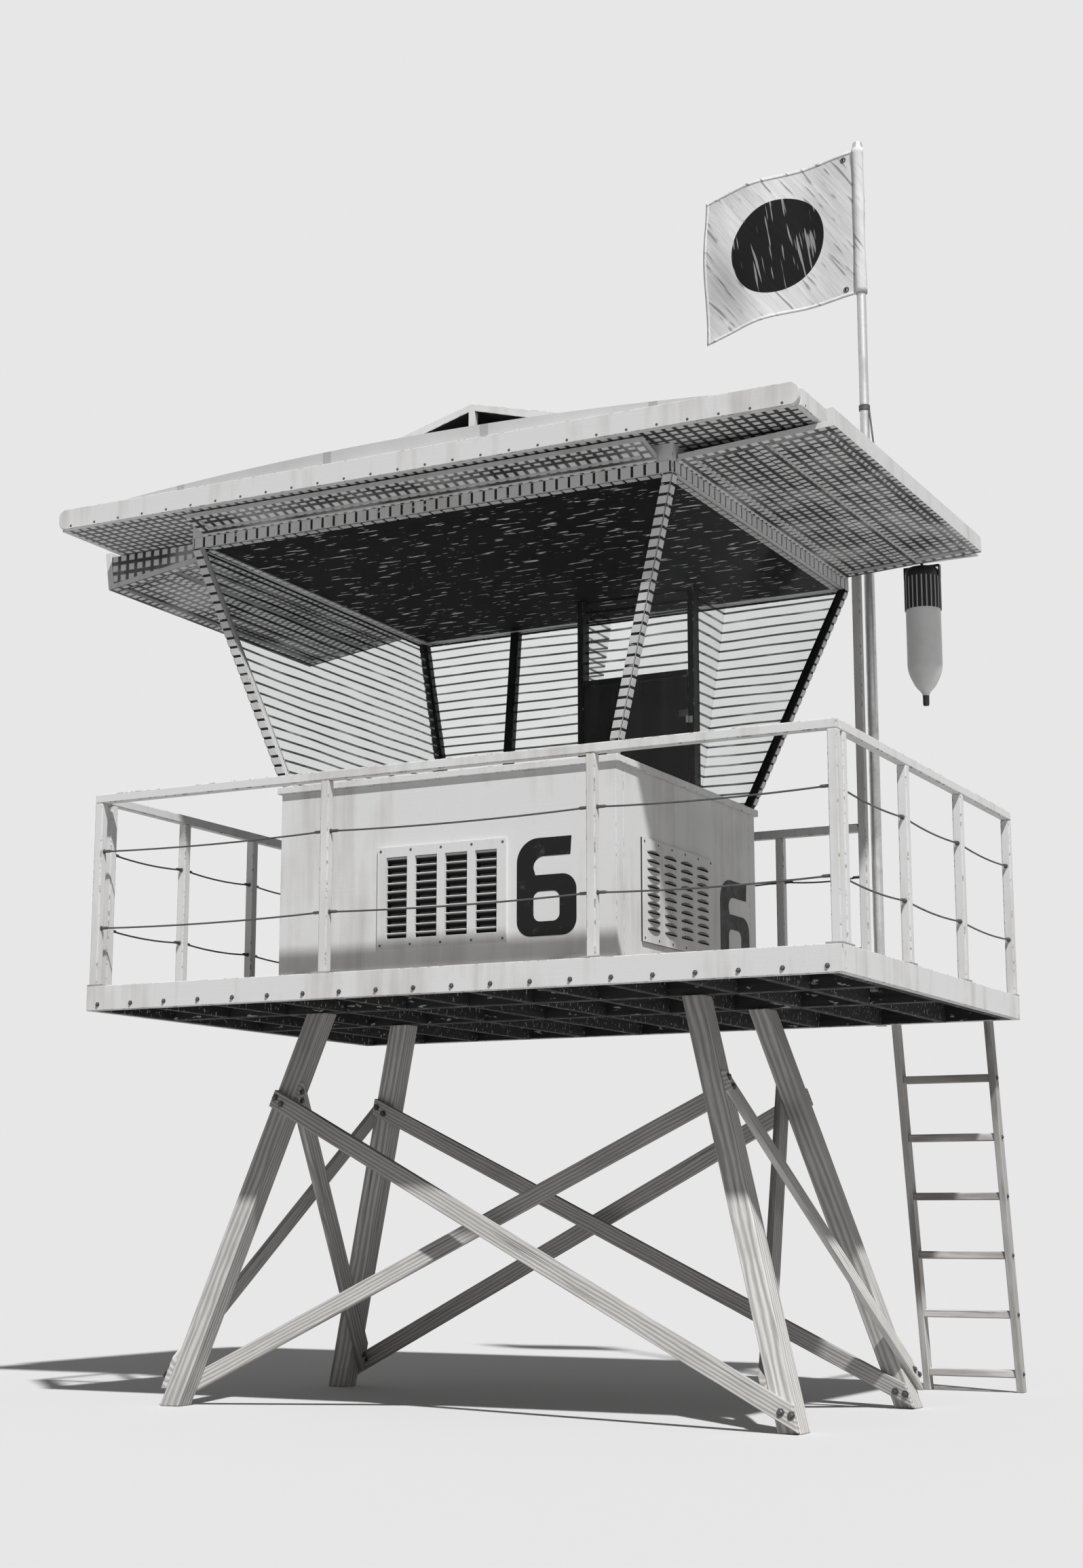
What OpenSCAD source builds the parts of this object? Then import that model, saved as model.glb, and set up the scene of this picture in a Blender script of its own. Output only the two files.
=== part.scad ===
// Timber lifeguard tower: a canted-window cab on a raised deck with splayed, cross-braced legs.
// Millimetres, Z up. The front faces -Y and the ground is Z = 0.

/* [Deck] */
// Width of the deck, left to right
deck_w = 4510; // [4200:10:5200]
// Height of the deck surface over the ground
deck_h = 2300; // [1900:10:2900]
// Height of the white rim boards
rim_h = 140; // [120:5:220]
// Thickness of the rim boards
rim_t = 40; // [30:1:55]
// Thickness of the floor boards
floor_t = 30; // [20:1:40]
// Thickness of a deck joist
joist_t = 45; // [35:1:60]
// Widest spacing of the deck joists
joist_pitch = 420; // [300:10:600]
// Thickness of the girder over a pair of legs
girder_t = 90; // [70:1:120]

/* [Legs] */
// Side of a square leg
leg_w = 125; // [100:1:150]
// Sideways distance between leg tops
leg_top_w = 2330; // [2000:10:2600]
// Front to back distance between leg tops
leg_top_d = 910; // [800:10:1200]
// Sideways distance between feet
leg_foot_w = 3640; // [3300:10:4000]
// Front to back distance between feet
leg_foot_d = 1710; // [1500:10:2000]
// How far the legs stand in front of the deck's middle
leg_forward = 290; // [0:10:320]
// Width of a cross brace board
brace_w = 95; // [70:1:120]
// Thickness of a cross brace board
brace_t = 38; // [25:1:45]
// Height of the lower brace ends at the front and rear
brace_low = 105; // [100:5:350]
// Height of the lower brace ends at the sides
brace_side_low = 250; // [200:10:500]
// Drop of the upper brace ends under the deck rim
brace_drop = 505; // [350:5:620]
// Setback of the brace ends from the legs' outer sides
brace_in = 4; // [2:1:15]

/* [Ladder] */
// Clear width between the ladder stiles
ladder_w = 530; // [450:10:600]
// Distance of the ladder from the deck's right edge
ladder_inset = 225; // [160:5:260]
// Thickness of a ladder stile
stile_t = 40; // [30:1:50]
// Depth of a ladder stile
stile_d = 75; // [60:1:100]
// How far the ladder foot stands out from its top
ladder_run = 410; // [200:10:600]
// Spacing of the rungs
rung_step = 345; // [280:5:370]
// Drop of the top rung under the deck rim
rung_drop = 350; // [150:5:360]
// Height of a rung
rung_h = 45; // [30:1:60]
// Depth of a rung
rung_d = 60; // [40:1:70]

/* [Railing] */
// Height of the top rail over the deck
rail_h = 1100; // [900:10:1200]
// Side of the square rails and posts
rail_w = 52; // [40:1:65]
// Setback of the railing from the deck's edge
rail_in = 8; // [0:1:20]
// Space between the two posts at a front corner
corner_gap = 38; // [25:1:60]
// Distance of the front rail's left middle post from the deck's middle
front_post_left = 690; // [500:5:900]
// Distance of the front rail's right middle post from the deck's middle
front_post_right = 915; // [600:5:1100]
// Number of bays in the left side railing
left_bays = 4; // [3:1:5]
// Number of bays in the right side railing
right_bays = 3; // [3:1:5]
// Length of the short rear bay beside the ladder
short_bay = 545; // [450:5:620]
// Distance of the rear rail's last post from the flagpole's axis
rail_stop = 50; // [28:1:80]
// Radius of a guard cable
cable_r = 5; // [3:0.5:8]
// Sag of a guard cable in one bay
cable_sag = 14; // [5:1:30]
// Drop of the upper cable under the top rail
cable_top = 330; // [200:10:400]
// Drop of the lower cable under the top rail
cable_low = 770; // [600:10:800]

/* [Cab] */
// Width of the cab at the wall
cab_w = 2120; // [1900:10:2300]
// Depth of the cab at the wall
cab_d = 1925; // [1700:5:2050]
// How far the cab stands left of the deck's middle
cab_left = 230; // [150:5:260]
// Depth of the walkway in front of the cab
front_walk = 490; // [450:10:750]
// Depth of the walkway behind the cab
rear_walk = 585; // [545:5:750]
// Wall thickness
wall_t = 90; // [70:1:110]
// Height of the window sill over the deck
sill_h = 1137; // [1050:1:1200]
// Thickness of the sill board
sill_t = 40; // [25:1:50]
// Overhang of the sill board
sill_out = 20; // [10:1:30]
// Height of the windows from sill to head
window_h = 1425; // [1300:5:1500]
// Outward lean of the front windows from sill to head
flare_front = 282; // [200:1:400]
// Outward lean of the side windows from sill to head
flare_side = 477; // [380:1:500]
// Outward lean of the rear windows from sill to head
flare_rear = 457; // [380:1:480]
// Side of a corner post
post_w = 55; // [50:1:90]
// Setback of the glass from the outer face
glass_in = 34; // [20:1:45]
// Thickness of the glass
glass_t = 8; // [6:1:12]
// Height of the head beams over the windows
head_h = 148; // [130:1:160]
// Thickness of the head beams
head_t = 85; // [70:1:100]
// Thickness of the ceiling board
ceiling_t = 18; // [12:1:24]

/* [Door] */
// Width of the doorway
door_w = 720; // [660:5:740]
// Height of the doorway
door_h = 2000; // [1900:5:2100]
// Distance of the doorway from the cab's middle, to the right
door_right = 315; // [280:5:340]
// Thickness of the door leaf
leaf_t = 44; // [35:1:55]
// Width of the door's stiles and rails around its sunk panels
door_frame = 110; // [90:5:130]
// Depth of the door's sunk panels
panel_sink = 10; // [4:1:14]
// Running gap around the door leaf
door_gap = 6; // [5:0.5:10]
// Thickness of the door jambs and head
jamb_t = 40; // [30:1:50]
// Width of the rear window mullion
mullion_w = 60; // [45:1:80]
// Distance of the rear mullion from the cab's middle, to the left
mullion_left = 640; // [560:5:700]
// Sideways lean of the rear mullion from sill to head
mullion_lean = 160; // [0:10:200]
// Radius of a hinge knuckle
knuckle_r = 9; // [8:0.5:12]
// Radius of a hinge pin
pin_r = 5; // [4:0.5:6]
// Radial clearance of a hinge pin
pin_clear = 0.08; // [0.05:0.01:0.1]

/* [Roof] */
// Width of the roof
roof_w = 4670; // [4500:10:4800]
// Overhang of the roof in front of the windows
roof_front = 240; // [210:5:300]
// Space between the roof's rear edge and the flagpole
roof_clear = 27; // [10:1:60]
// Thickness of the roof at its edges
roof_t = 98; // [80:1:110]
// Rise of the crowned roof surface
crown = 110; // [40:1:130]
// Thickness of the roof edge boards
fascia_t = 35; // [25:1:45]
// Height of the roof edge boards
fascia_h = 122; // [110:1:140]
// Width of the roof vent hood
hood_w = 1150; // [900:10:1300]
// Length of the roof vent hood
hood_d = 950; // [700:10:1100]
// Height of the hood at its eaves
hood_eave = 150; // [120:5:200]
// Rise of the hood from eaves to ridge
hood_rise = 150; // [90:5:200]
// Wall thickness of the hood
hood_t = 40; // [30:1:50]
// Distance of the hood to the right of the cab's middle
hood_right = 220; // [0:10:400]
// Distance of the hood behind the front head beam's face
hood_back = 190; // [100:10:400]

/* [Shutters] */
// Reach of the raised side shutters
shutter_reach = 882; // [830:1:900]
// Reach of the raised front shutter
shutter_front_reach = 195; // [120:1:200]
// Thickness of a shutter
shutter_t = 32; // [25:1:34]
// Width of a shutter's frame
shutter_frame = 65; // [50:1:90]
// Height of the outer lip of the right shutter
lip_h = 100; // [60:1:120]
// Height of the outer lip of the left shutter
lip_left_h = 235; // [60:1:240]
// Thickness of the outer lips
lip_t = 40; // [30:1:45]
// Length of the right shutter along the wall
shutter_len = 2540; // [1800:10:2610]
// Length of the left shutter along the wall
shutter_left_len = 2240; // [1800:10:2300]
// Distance of the right shutter's front end behind the front head beam's face
shutter_in = 42; // [20:1:50]
// Distance of the left shutter's front end behind the front head beam's face
shutter_left_in = 342; // [20:1:350]
// Length of the front shutter
shutter_front_len = 2900; // [2500:10:3000]
// Rise of the right shutter's outer edge
rise_right = 48; // [5:1:50]
// Rise of the left shutter's outer edge
rise_left = -124; // [-150:1:10]
// Rise of the front shutter's outer edge
rise_front = 50; // [5:1:52]
// Radius of a shutter's hinge barrel
barrel_r = 10; // [8:1:12]
// Height of the shutter hinges over the window heads
hinge_up = 60; // [50:1:65]

/* [Vents] */
// Width of the slatted front vent
vent_w = 810; // [700:10:900]
// Width of the punched side vent
vent_side_w = 940; // [700:10:1000]
// Height of a wall vent
vent_h = 565; // [400:5:600]
// Height of a vent's lower edge over the deck
vent_up = 170; // [150:10:300]
// Distance of the front vent from the cab's middle, to the left
vent_left = 0; // [0:5:150]
// Distance of the side vent in front of the wall's middle
vent_forward = 190; // [100:5:320]
// Width of the plain strips in a vent
vent_strip = 50; // [35:1:60]
// Number of slats or slots in a vent column
vent_rows = 10; // [6:1:14]

/* [Flag and rescue can] */
// Radius of the lower flagpole tube
pole_r = 33; // [30:1:45]
// Radius of the upper flagpole tube
pole_top_r = 30; // [20:1:35]
// Distance of the pole's axis behind the deck
pole_back = 62; // [58:1:80]
// Space between the pole and the ladder
pole_gap = 50; // [10:1:80]
// Height of the pole's top over the ground
pole_h = 7930; // [7000:10:8500]
// Height of the joint between the two tubes
pole_joint = 5650; // [5300:50:6500]
// Flat width of the flag along the fly
flag_w = 1110; // [800:10:1200]
// Height of the flag at the hoist
flag_h = 1000; // [700:10:1100]
// Droop of the flag's free edge
flag_droop = 135; // [50:5:250]
// Swing of the flag's waves to each side
flag_wave = 40; // [10:1:60]
// Thickness of the flag's solid
flag_t = 6; // [4:1:12]
// Radius of the rescue can
can_r = 107; // [90:1:130]
// Length of the rescue can's body
can_len = 750; // [600:10:800]
// Distance of the rescue can in front of the roof's rear edge
can_in = 75; // [50:5:300]
// Distance of the rescue can from the flagpole
can_right = 390; // [300:5:500]

/* [Hidden] */
$fn = 48;

// Gap where two boards of one kind butt
joint = 0.5;
// Gap between a soft or round piece and what carries it
seat = 0.3;
// Gap between two leaning boards that lie on each other
snug = 0.1;
// How far the glass beside the doorway laps a jamb
cheek_lap = 20;

deck_d = front_walk + cab_d + rear_walk;
deck_x = deck_w / 2;
deck_y = deck_d / 2;
under_z = deck_h - rim_h;
joist_h = rim_h - floor_t;
top_x = leg_top_w / 2;
top_y = leg_top_d / 2;
foot_x = leg_foot_w / 2;
foot_y = leg_foot_d / 2;

cab_x = -cab_left;
cab_front = -deck_y + front_walk;
cab_back = cab_front + cab_d;
cab_mid = (cab_front + cab_back) / 2;
sill_z = deck_h + sill_h;
head_z = sill_z + window_h;
roof_z = head_z + head_h;
lean_rear = flare_rear / window_h;
wall_h = sill_h - sill_t;

roof_y0 = cab_front - flare_front - roof_front;
roof_top = roof_z + roof_t;
ladder_x1 = deck_x - ladder_inset;
ladder_x0 = ladder_x1 - ladder_w;
pole_y = deck_y + pole_back;
pole_x = ladder_x0 - stile_t - pole_r - pole_gap;
roof_y1 = pole_y - pole_r - roof_clear;
hinge_z = head_z + hinge_up;

// Tilt of a shutter whose outer edge rises, and how far it then stands out from its head beam
function shutter_tilt(rise, reach) = -asin(rise / reach);
function shutter_out(rise, lip) = let (a = shutter_tilt(rise, shutter_reach))
    barrel_r + (shutter_reach - barrel_r) * cos(a) + lip * max(0, sin(a));

// The whole tower is moved so that its box is centred on the origin
head_x = cab_w / 2 + flare_side;
box_x0 = min(-deck_x, cab_x - max(head_x + shutter_out(rise_left, lip_left_h), roof_w / 2));
box_x1 = max(deck_x, cab_x + max(head_x + shutter_out(rise_right, lip_h), roof_w / 2));
box_y0 = min(-deck_y, roof_y0);
box_y1 = deck_y + stile_d + ladder_run;
shift = [-(box_x0 + box_x1) / 2, -(box_y0 + box_y1) / 2, 0];

// A post of rectangular section whose ends are level and whose sides lean
module slant_post(p0, p1, z0, z1, size) {
    wx = size[0] / 2;
    wy = size[1] / 2;
    quad = [[-wx, -wy], [wx, -wy], [wx, wy], [-wx, wy]];
    low = [for (q = quad) [p0[0] + q[0], p0[1] + q[1], z0]];
    high = [for (q = quad) [p1[0] + q[0], p1[1] + q[1], z1]];
    polyhedron(points = concat(low, high), faces = [[0, 1, 2, 3], [7, 6, 5, 4],
        [0, 4, 5, 1], [1, 5, 6, 2], [2, 6, 7, 3], [3, 7, 4, 0]]);
}

// A plate of level thickness t with an outline of [along, height] points.
// Its face is at y when the height is z, and leans towards -Y by slope.
module leaning_plate(outline, y, z, slope, t) {
    n = len(outline);
    front = [for (p = outline) [p[0], y - slope * (p[1] - z), p[1]]];
    back = [for (p = front) [p[0], p[1] + t, p[2]]];
    sides = [for (i = [0 : n - 1]) [i, (i + 1) % n, n + (i + 1) % n, n + i]];
    ends = [[for (i = [n - 1 : -1 : 0]) i], [for (i = [0 : n - 1]) n + i]];
    polyhedron(points = concat(front, back), faces = concat(ends, sides));
}

// Local frames of the four cab walls: X runs along the wall and -Y points outwards
module on_front() translate([cab_x, cab_front, 0]) children();
module on_rear() translate([cab_x, cab_back, 0]) rotate([0, 0, 180]) children();
module on_right() translate([cab_x + cab_w / 2, cab_mid, 0]) rotate([0, 0, 90]) children();
module on_left() translate([cab_x - cab_w / 2, cab_mid, 0]) rotate([0, 0, -90]) children();

// A box from its lowest corner to its highest corner
module block(a, b) translate(a) cube(b - a);

// Legs

module leg(sx, sy) {
    color("gainsboro")
        slant_post([sx * foot_x, -leg_forward + sy * foot_y],
                   [sx * top_x, -leg_forward + sy * top_y], 0, under_z, [leg_w, leg_w]);
}

// One cross brace over a pair of legs whose middles are low apart from the frame's middle at
// the ground and high at the deck. It rises from start_z to the right, or falls to it, with
// its ends cut along the legs' outer sides. Its near face is at y at the ground and leans by
// slope.
module brace_board(low, high, slope, y, start_z, falls) {
    z1 = under_z - brace_drop;
    lean_in = (low - high) / under_z;
    edge = low + leg_w / 2 - brace_in;
    start = [lean_in * start_z - low, start_z];
    run = [2 * low - lean_in * (z1 + start_z), z1 - start_z];
    side = [-run[1], run[0]] * brace_w / 2 / norm(run);
    pts = [for (end = [[-1, -1], [1, -1], [1, 1], [-1, 1]])
           let (p = start + side * end[1],
                t = (end[0] * (edge - lean_in * p[1]) - p[0])
                    / (run[0] + end[0] * lean_in * run[1]))
           p + run * t];
    outline = falls ? [for (i = [3 : -1 : 0]) [-pts[i][0], pts[i][1]]] : pts;
    leaning_plate(outline, y, 0, slope, brace_t);
}

// The two boards of one side: one on the outer faces of its legs, one on the inner faces
module brace_pair(low, high, out_low, out_high, start_z) {
    slope = (out_high - out_low) / under_z;
    color("silver") {
        brace_board(low, high, slope, -out_low - leg_w / 2 - brace_t - snug, start_z, true);
        brace_board(low, high, slope, -out_low + leg_w / 2 + snug, start_z, false);
    }
}

module braces_front()
    translate([0, -leg_forward, 0]) brace_pair(foot_x, top_x, foot_y, top_y, brace_low);

module braces_rear()
    translate([0, -leg_forward, 0]) rotate([0, 0, 180])
        brace_pair(foot_x, top_x, foot_y, top_y, brace_low);

module braces_right()
    translate([0, -leg_forward, 0]) rotate([0, 0, 90])
        brace_pair(foot_y, top_y, foot_x, top_x, brace_side_low);

module braces_left()
    translate([0, -leg_forward, 0]) rotate([0, 0, -90])
        brace_pair(foot_y, top_y, foot_x, top_x, brace_side_low);

// Deck

girder_y = [-leg_forward - top_y, -leg_forward + top_y];

module deck_girders() {
    color("dimgray")
        for (y = girder_y)
            block([-deck_x + rim_t, y - girder_t / 2, under_z],
                  [deck_x - rim_t, y + girder_t / 2, deck_h - floor_t]);
}

joist_n = ceil((deck_w - 2 * rim_t - joist_t) / joist_pitch);
joist_span = (deck_w - 2 * rim_t - joist_t) / joist_n;

module deck_joists() {
    edges = [-deck_y + rim_t, girder_y[0] - girder_t / 2, girder_y[0] + girder_t / 2,
             girder_y[1] - girder_t / 2, girder_y[1] + girder_t / 2, deck_y - rim_t];
    color("dimgray")
        for (i = [0 : joist_n])
            for (k = [0, 2, 4])
                block([-deck_x + rim_t + i * joist_span, edges[k], under_z],
                      [-deck_x + rim_t + i * joist_span + joist_t, edges[k + 1],
                       deck_h - floor_t]);
}

module deck_floor() {
    color("lightgray")
        block([-deck_x + rim_t, -deck_y + rim_t, deck_h - floor_t],
              [deck_x - rim_t, deck_y - rim_t, deck_h]);
}

module deck_rims() {
    color("white") {
        for (y = [-deck_y, deck_y - rim_t])
            block([-deck_x, y, under_z], [deck_x, y + rim_t, deck_h]);
        for (x = [-deck_x, deck_x - rim_t])
            block([x, -deck_y + rim_t + joint, under_z],
                  [x + rim_t, deck_y - rim_t - joint, deck_h]);
    }
}

// Ladder

module ladder_stiles() {
    profile = [[0, deck_h], [0, under_z], [ladder_run, 0], [ladder_run + stile_d, 0],
               [stile_d, under_z], [stile_d, deck_h]];
    color("gainsboro")
        for (x = [ladder_x0 - stile_t, ladder_x1])
            translate([x, deck_y, 0]) rotate([90, 0, 90])
                linear_extrude(stile_t) polygon(profile);
}

rung_n = floor((under_z - rung_h) / rung_step);

module ladder_rungs() {
    z_top = under_z - rung_drop;
    color("gray")
        for (i = [0 : rung_n])
            if (z_top - i * rung_step > 0) {
                z = z_top - i * rung_step;
                y = deck_y + ladder_run * (1 - (z + rung_h / 2) / under_z) + stile_d / 2;
                block([ladder_x0, y - rung_d / 2, z], [ladder_x1, y + rung_d / 2, z + rung_h]);
            }
}

// Railing

rail_z = deck_h + rail_h;
edge = rail_in + rail_w / 2;
rail_x = deck_x - edge;
rail_y = deck_y - edge;
side_y0 = -rail_y + rail_w + corner_gap;
rear_x1 = pole_x - rail_stop;
rear_x2 = rear_x1 - short_bay;

front_posts = [-rail_x, -front_post_left, front_post_right, rail_x];
// The left and the right side: its sign and its number of bays
sides = [[-1, left_bays], [1, right_bays]];
function side_posts(n) = [for (i = [0 : n]) side_y0 + i * (rail_y - side_y0) / n];
rear_posts_x = [for (i = [0 : 3]) -rail_x + i * (rear_x2 + rail_x) / 3];

module rail_post(x, y, top = rail_z - rail_w)
    block([x - rail_w / 2, y - rail_w / 2, deck_h], [x + rail_w / 2, y + rail_w / 2, top]);

// The last rear post runs on up to the roof
module rail_posts() {
    color("whitesmoke") {
        for (x = front_posts)
            rail_post(x, -rail_y);
        for (s = sides)
            for (y = side_posts(s[1]))
                rail_post(s[0] * rail_x, y);
        for (i = [1 : 3])
            rail_post(rear_posts_x[i], rail_y);
        rail_post(rear_x1, rail_y, roof_z);
    }
}

module top_rails() {
    h = rail_w / 2;
    color("white") {
        block([-rail_x - h, -rail_y - h, rail_z - rail_w], [rail_x + h, -rail_y + h, rail_z]);
        for (s = [-1, 1])
            block([s * rail_x - h, -rail_y + h + joint, rail_z - rail_w],
                  [s * rail_x + h, rail_y + h, rail_z]);
        block([-rail_x + h + joint, rail_y - h, rail_z - rail_w],
              [rear_x1 - h - joint, rail_y + h, rail_z]);
    }
}

// A cable that sags between two points on one level, from the origin along +X
module sag_cable(span) {
    len = span - 2 * joint;
    r = (len * len / 4 + cable_sag * cable_sag) / 2 / cable_sag;
    a = 2 * asin(len / 2 / r);
    translate([span / 2, 0, r - cable_sag]) rotate([90, 0, 0]) rotate([0, 0, -90 - a / 2])
        rotate_extrude(angle = a, $fn = 1440) translate([r, 0]) circle(cable_r, $fn = 24);
}

module cable_run(stops) {
    for (i = [0 : len(stops) - 2])
        translate([stops[i] + rail_w / 2, 0, 0])
            sag_cable(stops[i + 1] - stops[i] - rail_w);
}

module rail_cables() {
    color("dimgray")
        for (drop = [cable_top, cable_low])
            translate([0, 0, rail_z - drop]) {
                translate([0, -rail_y, 0]) cable_run(front_posts);
                for (s = sides)
                    translate([s[0] * rail_x, 0, 0]) rotate([0, 0, 90])
                        cable_run(side_posts(s[1]));
                translate([0, rail_y, 0]) cable_run(concat(rear_posts_x, [rear_x1]));
            }
}

// Cab walls

vent_hole_h = vent_h - 2 * vent_strip;

// The hole of a vent of width w whose middle is at u along the wall
module vent_hole(u, w)
    block([u - w / 2 + vent_strip, -1, deck_h + vent_up + vent_strip],
          [u + w / 2 - vent_strip, wall_t + 1, deck_h + vent_up + vent_strip + vent_hole_h]);

module wall_panel(u0, u1) block([u0, 0, deck_h], [u1, wall_t, deck_h + wall_h]);

module front_wall() {
    color("white") on_front()
        difference() {
            wall_panel(-cab_w / 2, cab_w / 2);
            vent_hole(-vent_left, vent_w);
        }
}

side_half = cab_d / 2 - wall_t;

module right_wall() {
    color("white") on_right()
        difference() {
            wall_panel(-side_half, side_half);
            vent_hole(-vent_forward, vent_side_w);
        }
}

module left_wall() color("white") on_left() wall_panel(-side_half, side_half);

// Along the rear wall, X runs from the cab's right to its left
door_c = -door_right;
jamb_r = door_c - door_w / 2 - jamb_t;
jamb_l = door_c + door_w / 2 + jamb_t;

module rear_wall() {
    color("white") on_rear() {
        wall_panel(-cab_w / 2, jamb_r);
        wall_panel(jamb_l, cab_w / 2);
    }
}

module sill_board(u0, u1) block([u0, -sill_out, sill_z - sill_t], [u1, wall_t, sill_z]);

module window_sills() {
    out = cab_w / 2 + sill_out;
    color("white") {
        on_front() sill_board(-out, out);
        on_right() sill_board(-side_half + joint, side_half - joint);
        on_left() sill_board(-side_half + joint, side_half - joint);
        on_rear() {
            sill_board(-out, jamb_r);
            sill_board(jamb_l, out);
        }
    }
}

// Windows

module corner_posts() {
    x = cab_w / 2 - post_w / 2;
    y = cab_d / 2 - post_w / 2;
    color("whitesmoke")
        for (sx = [-1, 1])
            for (sy = [-1, 1])
                translate([cab_x, cab_mid, 0])
                    slant_post([sx * x, sy * y],
                               [sx * (x + flare_side), sy * y + (sy < 0 ? -flare_front : flare_rear)],
                               sill_z, head_z, [post_w, post_w]);
}

// A window pane from u0 to u1 at the sill. It leans out by out, and its ends move apart
// by s0 and s1, between the sill and the head. Its lower edge is at z0.
module pane(u0, u1, out, s0, s1, z0) {
    k = (z0 - sill_z) / window_h;
    leaning_plate([[u0 - s0 * k, z0], [u1 + s1 * k, z0], [u1 + s1, head_z], [u0 - s0, head_z]],
                  glass_in, sill_z, out / window_h, glass_t);
}

module rear_pane(u0, u1, s0, s1, z0) pane(u0, u1, flare_rear, s0, s1, z0);

// A pane beside the doorway, from a jamb out to the leaning pane's inner face
module cheek_pane(u) {
    inner = glass_in + glass_t;
    z0 = sill_z + (inner - cheek_lap) / lean_rear;
    translate([u, 0, 0]) rotate([90, 0, 90]) linear_extrude(glass_t)
        polygon([[cheek_lap, z0], [cheek_lap, head_z], [inner - flare_rear, head_z]]);
}

module window_glass() {
    w = cab_w / 2 - post_w;
    d = cab_d / 2 - post_w;
    color("lightblue", 0.4) {
        on_front() pane(-w, w, flare_front, flare_side, flare_side, sill_z);
        on_right() pane(-d, d, flare_side, flare_front, flare_rear, sill_z);
        on_left() pane(-d, d, flare_side, flare_rear, flare_front, sill_z);
        on_rear() {
            rear_pane(-w, jamb_r, flare_side, 0, sill_z);
            rear_pane(jamb_l, mullion_left - mullion_w / 2, 0, mullion_lean, sill_z);
            rear_pane(mullion_left + mullion_w / 2, w, -mullion_lean, flare_side, sill_z);
            block([jamb_r + jamb_t, glass_in, deck_h + door_h + jamb_t],
                  [jamb_l - jamb_t, glass_in + glass_t, head_z]);
            cheek_pane(jamb_r - glass_t);
            cheek_pane(jamb_l);
        }
    }
}

// The door jambs run straight up to the ceiling
module jamb(u) block([u, 0, deck_h], [u + jamb_t, wall_t, head_z]);

module rear_posts() {
    m = mullion_left;
    w = mullion_w / 2;
    color("gainsboro") on_rear() {
        jamb(jamb_r);
        jamb(jamb_l - jamb_t);
        leaning_plate([[m - w, sill_z], [m + w, sill_z], [m + mullion_lean + w, head_z],
                       [m + mullion_lean - w, head_z]], 0, sill_z, lean_rear, post_w);
    }
}

module door_head() {
    z = deck_h + door_h;
    color("gainsboro") on_rear()
        block([door_c - door_w / 2, 0, z], [door_c + door_w / 2, wall_t, z + jamb_t]);
}

module head_beam(out, u0, u1)
    block([u0, -out, head_z], [u1, -out + head_t, roof_z]);

head_y0 = cab_d / 2 + flare_front;
head_y1 = cab_d / 2 + flare_rear;

module head_beams() {
    inner = head_t + joint;
    color("white") {
        on_front() head_beam(flare_front, -head_x, head_x);
        on_rear() head_beam(flare_rear, -head_x, head_x);
        on_right() head_beam(flare_side, inner - head_y0, head_y1 - inner);
        on_left() head_beam(flare_side, inner - head_y1, head_y0 - inner);
    }
}

module ceiling() {
    x = head_x - head_t;
    color("dimgray") translate([cab_x, cab_mid, head_z])
        block([-x, head_t - head_y0, 0], [x, head_y1 - head_t, ceiling_t]);
}

// Roof

slab_x = roof_w / 2 - fascia_t;
crown_steps = 24;

module roof_deck() {
    rim = [[-slab_x, roof_z], [slab_x, roof_z]];
    arc = [for (i = [crown_steps : -1 : 0])
           let (t = 2 * i / crown_steps - 1) [t * slab_x, roof_top + crown * (1 - t * t)]];
    color("lightgray")
        translate([cab_x, roof_y1 - fascia_t, 0]) rotate([90, 0, 0])
            linear_extrude(roof_y1 - roof_y0 - 2 * fascia_t) polygon(concat(rim, arc));
}

// A bar of length l and height h whose two ends are rounded by r, from the origin
module rounded_face(l, h, r) {
    translate([r, 0]) square([l - 2 * r, h]);
    translate([0, r]) square([l, h - 2 * r]);
    for (x = [r, l - r])
        for (y = [r, h - r])
            translate([x, y]) circle(r);
}

module roof_fascia_front() {
    color("white")
        translate([cab_x - roof_w / 2, roof_y0 + fascia_t, roof_z]) rotate([90, 0, 0])
            linear_extrude(fascia_t) rounded_face(roof_w, fascia_h, fascia_h * 0.4);
}

module roof_edges() {
    color("white") {
        for (s = [-1, 1])
            translate([cab_x + s * (slab_x + fascia_t / 2), 0, 0])
                block([-fascia_t / 2, roof_y0 + fascia_t, roof_z],
                      [fascia_t / 2, roof_y1 - fascia_t - joint, roof_top]);
        block([cab_x - roof_w / 2, roof_y1 - fascia_t, roof_z],
              [cab_x + roof_w / 2, roof_y1, roof_top]);
    }
}

hood_y0 = cab_front - flare_front + hood_back;

// The hood's end face: straight sides and two slopes
function gable(w, e, r) = [[-w, 0], [w, 0], [w, e], [0, e + r], [-w, e]];

// Height of the crowned roof at a distance from the cab's middle
function roof_at(x) = roof_top + crown * (1 - pow(x / slab_x, 2));

module roof_vent() {
    w = hood_w / 2;
    low = roof_at(hood_right + w);
    color("white")
        translate([cab_x + hood_right, hood_y0, 0])
            difference() {
                union() {
                    difference() {
                        translate([0, hood_d, low]) rotate([90, 0, 0])
                            linear_extrude(hood_d) polygon(gable(w, hood_eave, hood_rise));
                        translate([0, hood_d - hood_t, low - 1]) rotate([90, 0, 0])
                            linear_extrude(hood_d)
                                polygon(gable(w - hood_t, hood_eave + 1 - hood_t, hood_rise));
                    }
                    block([-w, 0, low], [w, hood_t, low + hood_eave / 2]);
                    block([-hood_t / 2, 0, low],
                          [hood_t / 2, hood_t, low + hood_eave + hood_rise - hood_t * 0.8]);
                }
                crown_cutter();
            }
}

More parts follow.
